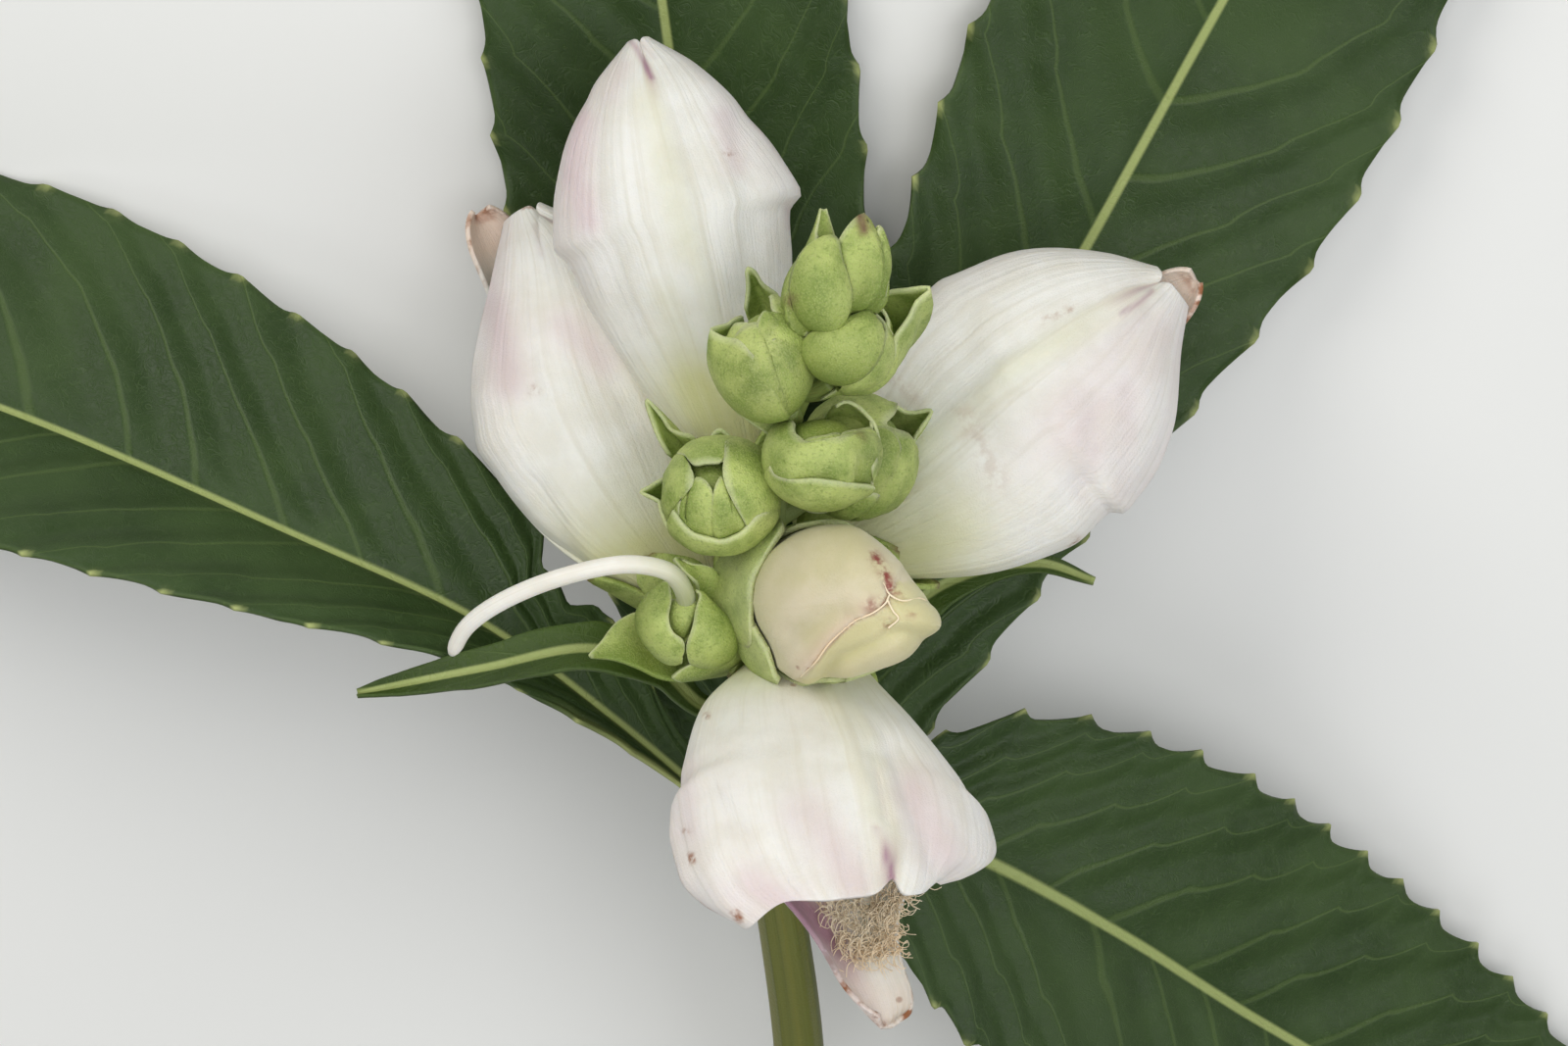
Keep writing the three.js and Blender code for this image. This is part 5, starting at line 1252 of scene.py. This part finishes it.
# Stem with the rachis of the spike and the short stalks of its flowers.
stemForm = {
    "run": (
        (3, -95.3, -69.8), (2.8, -86.2, -65.8), (2.2, -65.2, -51), (1.2, -43.1, -33), (0, -33, -24),
        (-1.6, -23.1, -16), (-2.4, -12.7, -8), (-1.3, -2, 0), (-0.2, 6.2, 5.4), (1.6, 10.8, 8.4),
        (3, 13.6, 11)),
    "radius": ((0, 2.3), (0.5, 2.1), (0.8, 1.6), (0.92, 1.1), (1, 0.9)),
    "ribs": 0.05,
    "stalkRadius": ((0, 1.1), (1, 0.9)),
    "stalkUnder": 3.5,  # how far behind a corolla's root its stalk ends
}


def makeStem(stem):
    run = SmoothCurve(stem["run"])
    nearby = [run.at(k / 300) for k in range(301)]

    def ribbed(turn, t):
        return 1 + stem["ribs"] * (math.cos(4 * turn) + 0.5 * math.cos(11 * turn + 3 * t))

    def masksAt(u, v, spot):
        return 0, 0.8 * ramp(v, 0.72, 0.9), 0

    bm = newSheets()
    addTube(bm, run, profile(stem["radius"]), 40, 150, ribbed, masksAt)
    stalks = [(form["root"], form["tip"], stem["stalkUnder"]) for form in corollaForms.values()]
    stalks.append((youngForm["root"], youngForm["tip"], stem["stalkUnder"]))
    stalks += [(form["foot"], form["centre"], 0.0) for node, form in budForms.items() if node != "bud_tip"]
    for root, tip, under in stalks:
        root = Vector(root)
        along = (Vector(tip) - root).normalized()
        end = root - along * under
        below = end - along * 2.5
        start = min(nearby, key=lambda spot: (spot - below).length)
        stalk = SmoothCurve([start, start.lerp(end, 0.6) - along * 0.4, end])
        addTube(bm, stalk, profile(stem["stalkRadius"]), 14, 10, masksAt=lambda u, v, spot: (0, 0.8, 0))
    closeSeams(bm)
    finishPiece(bm, "stem_skin", ["stem"], stalkSkin)


makeStem(stemForm)
print("stem and style made")

# Leaves: two half blades raised from a sunken midrib, with forward-pointing teeth and arching side veins.
# Half widths are along the length; a fold is degrees at root and tip, for the left and the right half.
leafForms = {
    "leaf_left": {
        "run": ((-2.4, -25.4, -17.6), (-13.6, -15.6, -14.4), (-23.8, -8, -12.4), (-38.8, -0.9, -12),
            (-62.4, 9.2, -13.6), (-82, 15, -16), (-102, 18, -23.2)),
        "face": (0.05, 0.4, 0.91),
        "half": ((0, 0.9), (0.06, 1.6), (0.18, 6), (0.25, 9.5), (0.4, 15), (0.6, 18.4), (0.72, 17.4),
            (0.88, 8.5), (0.96, 3), (1, 0.5)),
        "fold": ((60, 26), (12, 8)), "teeth": 21, "toothDepth": 0.45, "bites": ((-1, 0.19, 0.25, 2.4),),
        "veins": 15,
    },
    "leaf_right": {
        "run": ((-1, -24, -17), (6.3, -23.6, -18.6), (15.4, -26.8, -22), (27.6, -33.6, -28),
            (39.4, -41.3, -36.2), (62, -54.5, -48.7), (84, -67, -59.7)),
        "face": (0.3, 0.05, 0.96),
        "half": ((0, 0.9), (0.06, 1.6), (0.14, 10.6), (0.28, 15.2), (0.45, 16), (0.65, 13), (0.85, 6.5),
            (0.95, 2.6), (1, 0.5)),
        "fold": ((12, 12), (12, 12)), "teeth": 22, "toothDepth": 1.1, "bites": (), "veins": 15,
    },
    "leaf_back": {
        "run": ((-0.4, -33, -24.4), (-3.6, -14, -24.6), (-5.4, 4, -23.2), (-7.9, 28, -18.2),
            (-9.6, 41, -13.2), (-12.6, 62, -5), (-15.8, 84, 4.3)),
        "face": (0, -0.3, 0.95),
        "half": ((0, 0.9), (0.06, 1.6), (0.2, 8), (0.4, 13), (0.58, 14.4), (0.78, 11.5), (0.93, 4.2),
            (1, 0.5)),
        "fold": ((8, 8), (8, 8)), "teeth": 19, "toothDepth": 0.6, "bites": (), "veins": 14,
    },
    "leaf_back_right": {
        "run": ((0.4, -32, -23.6), (6, -14, -20.4), (12, 1.1, -19.4), (23.8, 21.5, -18.4),
            (34.6, 41.2, -12.6), (46, 61, -5.3), (57, 81, 3.1)),
        "face": (0, -0.25, 0.95),
        "half": ((0, 0.9), (0.06, 1.6), (0.2, 8.4), (0.4, 13.6), (0.58, 16.6), (0.78, 13), (0.93, 5),
            (1, 0.5)),
        "fold": ((10, 10), (10, 10)), "teeth": 19, "toothDepth": 0.8, "bites": (), "veins": 14,
    },
    "bract_leaf_left": {
        "run": ((-2.6, -15.5, -9.5), (-6.5, -14.2, -6.4), (-9.8, -11.2, -3.4), (-15, -9.7, -1.4),
            (-23, -11.2, -1.6), (-32.9, -13.2, -4)),
        "face": (0, 0.5, 0.85),
        "half": ((0, 0.9), (0.2, 1.2), (0.4, 2.1), (0.6, 1.9), (0.8, 1.4), (0.93, 0.8), (1, 0.35)),
        "fold": ((14, 14), (14, 14)), "teeth": 6, "toothDepth": 0.25, "bites": (), "veins": 7,
    },
    "bract_leaf_right": {
        "run": ((-1.6, -13.8, -9.4), (5, -10.4, -13), (13.2, -4.6, -14.5), (20.2, -3.2, -14),
            (24.5, -4.6, -13.6)),
        "face": (0, 0.2, 0.95), "half": ((0, 0.9), (0.2, 1.4), (0.5, 2), (0.75, 1), (0.92, 0.6), (1, 0.3)),
        "fold": ((10, 10), (10, 10)), "teeth": 5, "toothDepth": 0.25, "bites": (), "veins": 7,
    },
}
leafDetail = {
    "columns": 52, "rowsPerTooth": 12, "wall": 0.35, "pucker": 0.28, "midribWide": 0.75, "midribSunk": 0.3,
    "wave": 0.35,
    "bractTeeth": 10,  # leaves with no more teeth than this are bracts, in a plainer grid
    "bractColumns": 20, "bractRows": 90,
}


def makeLeaf(node, form):
    detail, teeth, toothDepth = leafDetail, form["teeth"], form["toothDepth"]
    run, halfAt = SmoothCurve(form["run"]), profile(form["half"])
    bract = teeth <= detail["bractTeeth"]
    rows = detail["bractRows"] if bract else teeth * detail["rowsPerTooth"]
    face = Vector(form["face"])
    rowFrames = []
    for row in range(rows + 1):
        along = run.along(row / rows)
        side = face.cross(along).normalized()
        rowFrames.append((run.at(row / rows), side, along.cross(side).normalized()))

    def veinRow(share, t):
        a = abs(share)
        row = (t - 0.1 * a - 0.07 * a * a) * form["veins"] + (0.45 if share > 0 else 0.0)
        return row + 0.55 * noise.noise(Vector((row * 0.55, 9.0 if share > 0 else 2.0, a * 0.8)))

    def widthAt(t, side):
        width = halfAt(t)
        for where, low, high, depth in form["bites"]:
            if where * side > 0:
                width -= depth * ramp(t, low, low + 0.02) * (1 - ramp(t, high - 0.015, high))
        phase = (t * teeth + (0.3 if side > 0 else 0.0)) % 1.0
        saw = phase / 0.72 if phase < 0.72 else (1 - phase) / 0.28
        return max(0.2, width + toothDepth * min(1, width / 4) * saw * saw)

    def pointAt(u, v):
        centre, side, up = rowFrames[round(v * rows)]
        share = 2 * u - 1
        x = share * widthAt(v, share)
        tilt = math.radians(mix(*form["fold"][0 if share > 0 else 1], v))
        lift = abs(x) * math.sin(tilt) - x * x * 0.018 * math.sin(tilt)
        swell = detail["pucker"] * ramp(abs(x), 0.6, 2.5) * min(1, halfAt(v) / 8)
        lift += swell * math.cos(2 * math.pi * veinRow(share, v))
        lift += detail["wave"] * noise.noise(centre * 0.09 + side * x * 0.09) * ramp(abs(share), 0.3, 1)
        lift -= detail["midribSunk"] * bell(x, detail["midribWide"]) * min(1, halfAt(v) / 6)
        return centre + side * x * math.cos(tilt) + up * lift

    def masksAt(u, v, spot):
        share = 2 * u - 1
        width = widthAt(v, share)
        rib = bell(share * width, detail["midribWide"] * mix(1.0, 0.55, v))
        tip = ramp(abs(share), 0.955, 1.0) * ramp(width - halfAt(v), 0.55 * toothDepth, toothDepth)
        rolled = 0.8 * ramp(share, 0.6, 1.0) * (1 - ramp(v, 0.1, 0.2)) if node == "leaf_left" else 0.0
        return veinRow(share, v) + 0.5, rib, max(tip, rolled)

    bm = newSheets()
    addSheet(bm, detail["bractColumns"] if bract else detail["columns"], rows, pointAt, masksAt)
    bmesh.ops.reverse_faces(bm, faces=bm.faces[:])
    bm = thicken(bm, detail["wall"])
    finishPiece(bm, node + "_blade", [node], bractSkin if bract else bladeSkin)


for node, form in leafForms.items():
    makeLeaf(node, form)
print("leaves made")

# Floor, camera, lights and the light of the room.
stageLook = {"floorHalf": 3.0, "floor": srgb(236, 236, 233), "sensor": 36.0, "lens": 129.0, "farEnd": 20.0}
bm = bmesh.new()
bmesh.ops.create_grid(bm, x_segments=1, y_segments=1, size=stageLook["floorHalf"])
floorMesh = takeMesh(bm, "floor")
floorMesh.materials.append(newMaterial("paleFloor", {"Base Color": stageLook["floor"], "Roughness": 0.8})[0])
floor = addObject("floor", floorMesh)

lens = bpy.data.cameras.new("camera")
lens.sensor_width = stageLook["sensor"]
lens.lens = stageLook["lens"]
lens.clip_end = stageLook["farEnd"]
camera = addObject("camera", lens)
outward = Vector((0, math.sin(lean), math.cos(lean)))
upward = Vector((0, math.cos(lean), -math.sin(lean)))
turned = Matrix(((1, upward.x, outward.x), (0, upward.y, outward.y), (0, upward.z, outward.z)))
camera.matrix_world = Matrix.Translation(toWorld((0, 0, eyeHeight))) @ turned.to_4x4()
bpy.context.scene.camera = camera

lights = {
    "key": {"place": (-260, 260, 420), "size": 0.32, "power": 1.25, "tint": (1.0, 0.98, 0.94)},
    "fill": {"place": (320, -60, 380), "size": 0.4, "power": 0.75, "tint": (0.95, 0.97, 1.0)},
    "front": {"place": (40, -80, 560), "size": 0.5, "power": 1.2, "tint": (1.0, 1.0, 1.0)},
    "low": {"place": (-40, -420, 180), "size": 0.35, "power": 0.3, "tint": (1.0, 1.0, 1.0)},
}
for name, given in lights.items():
    lamp = bpy.data.lights.new(name, "AREA")
    lamp.shape = "DISK"
    lamp.size = given["size"]
    lamp.energy = given["power"]
    lamp.color = given["tint"]
    holder = addObject(name, lamp)
    holder.location = toWorld(given["place"])
    holder.rotation_euler = (toWorld((0, 0, 0)) - holder.location).to_track_quat("-Z", "Y").to_euler()

world = bpy.data.worlds.new("studio")
world.use_nodes = True
background = world.node_tree.nodes["Background"].inputs
background["Color"].default_value = (0.86, 0.88, 0.9, 1.0)
background["Strength"].default_value = 0.27
bpy.context.scene.world = world
bpy.context.scene.view_settings.view_transform = "Standard"
print("stage, camera and lights set")

bpy.context.view_layer.update()
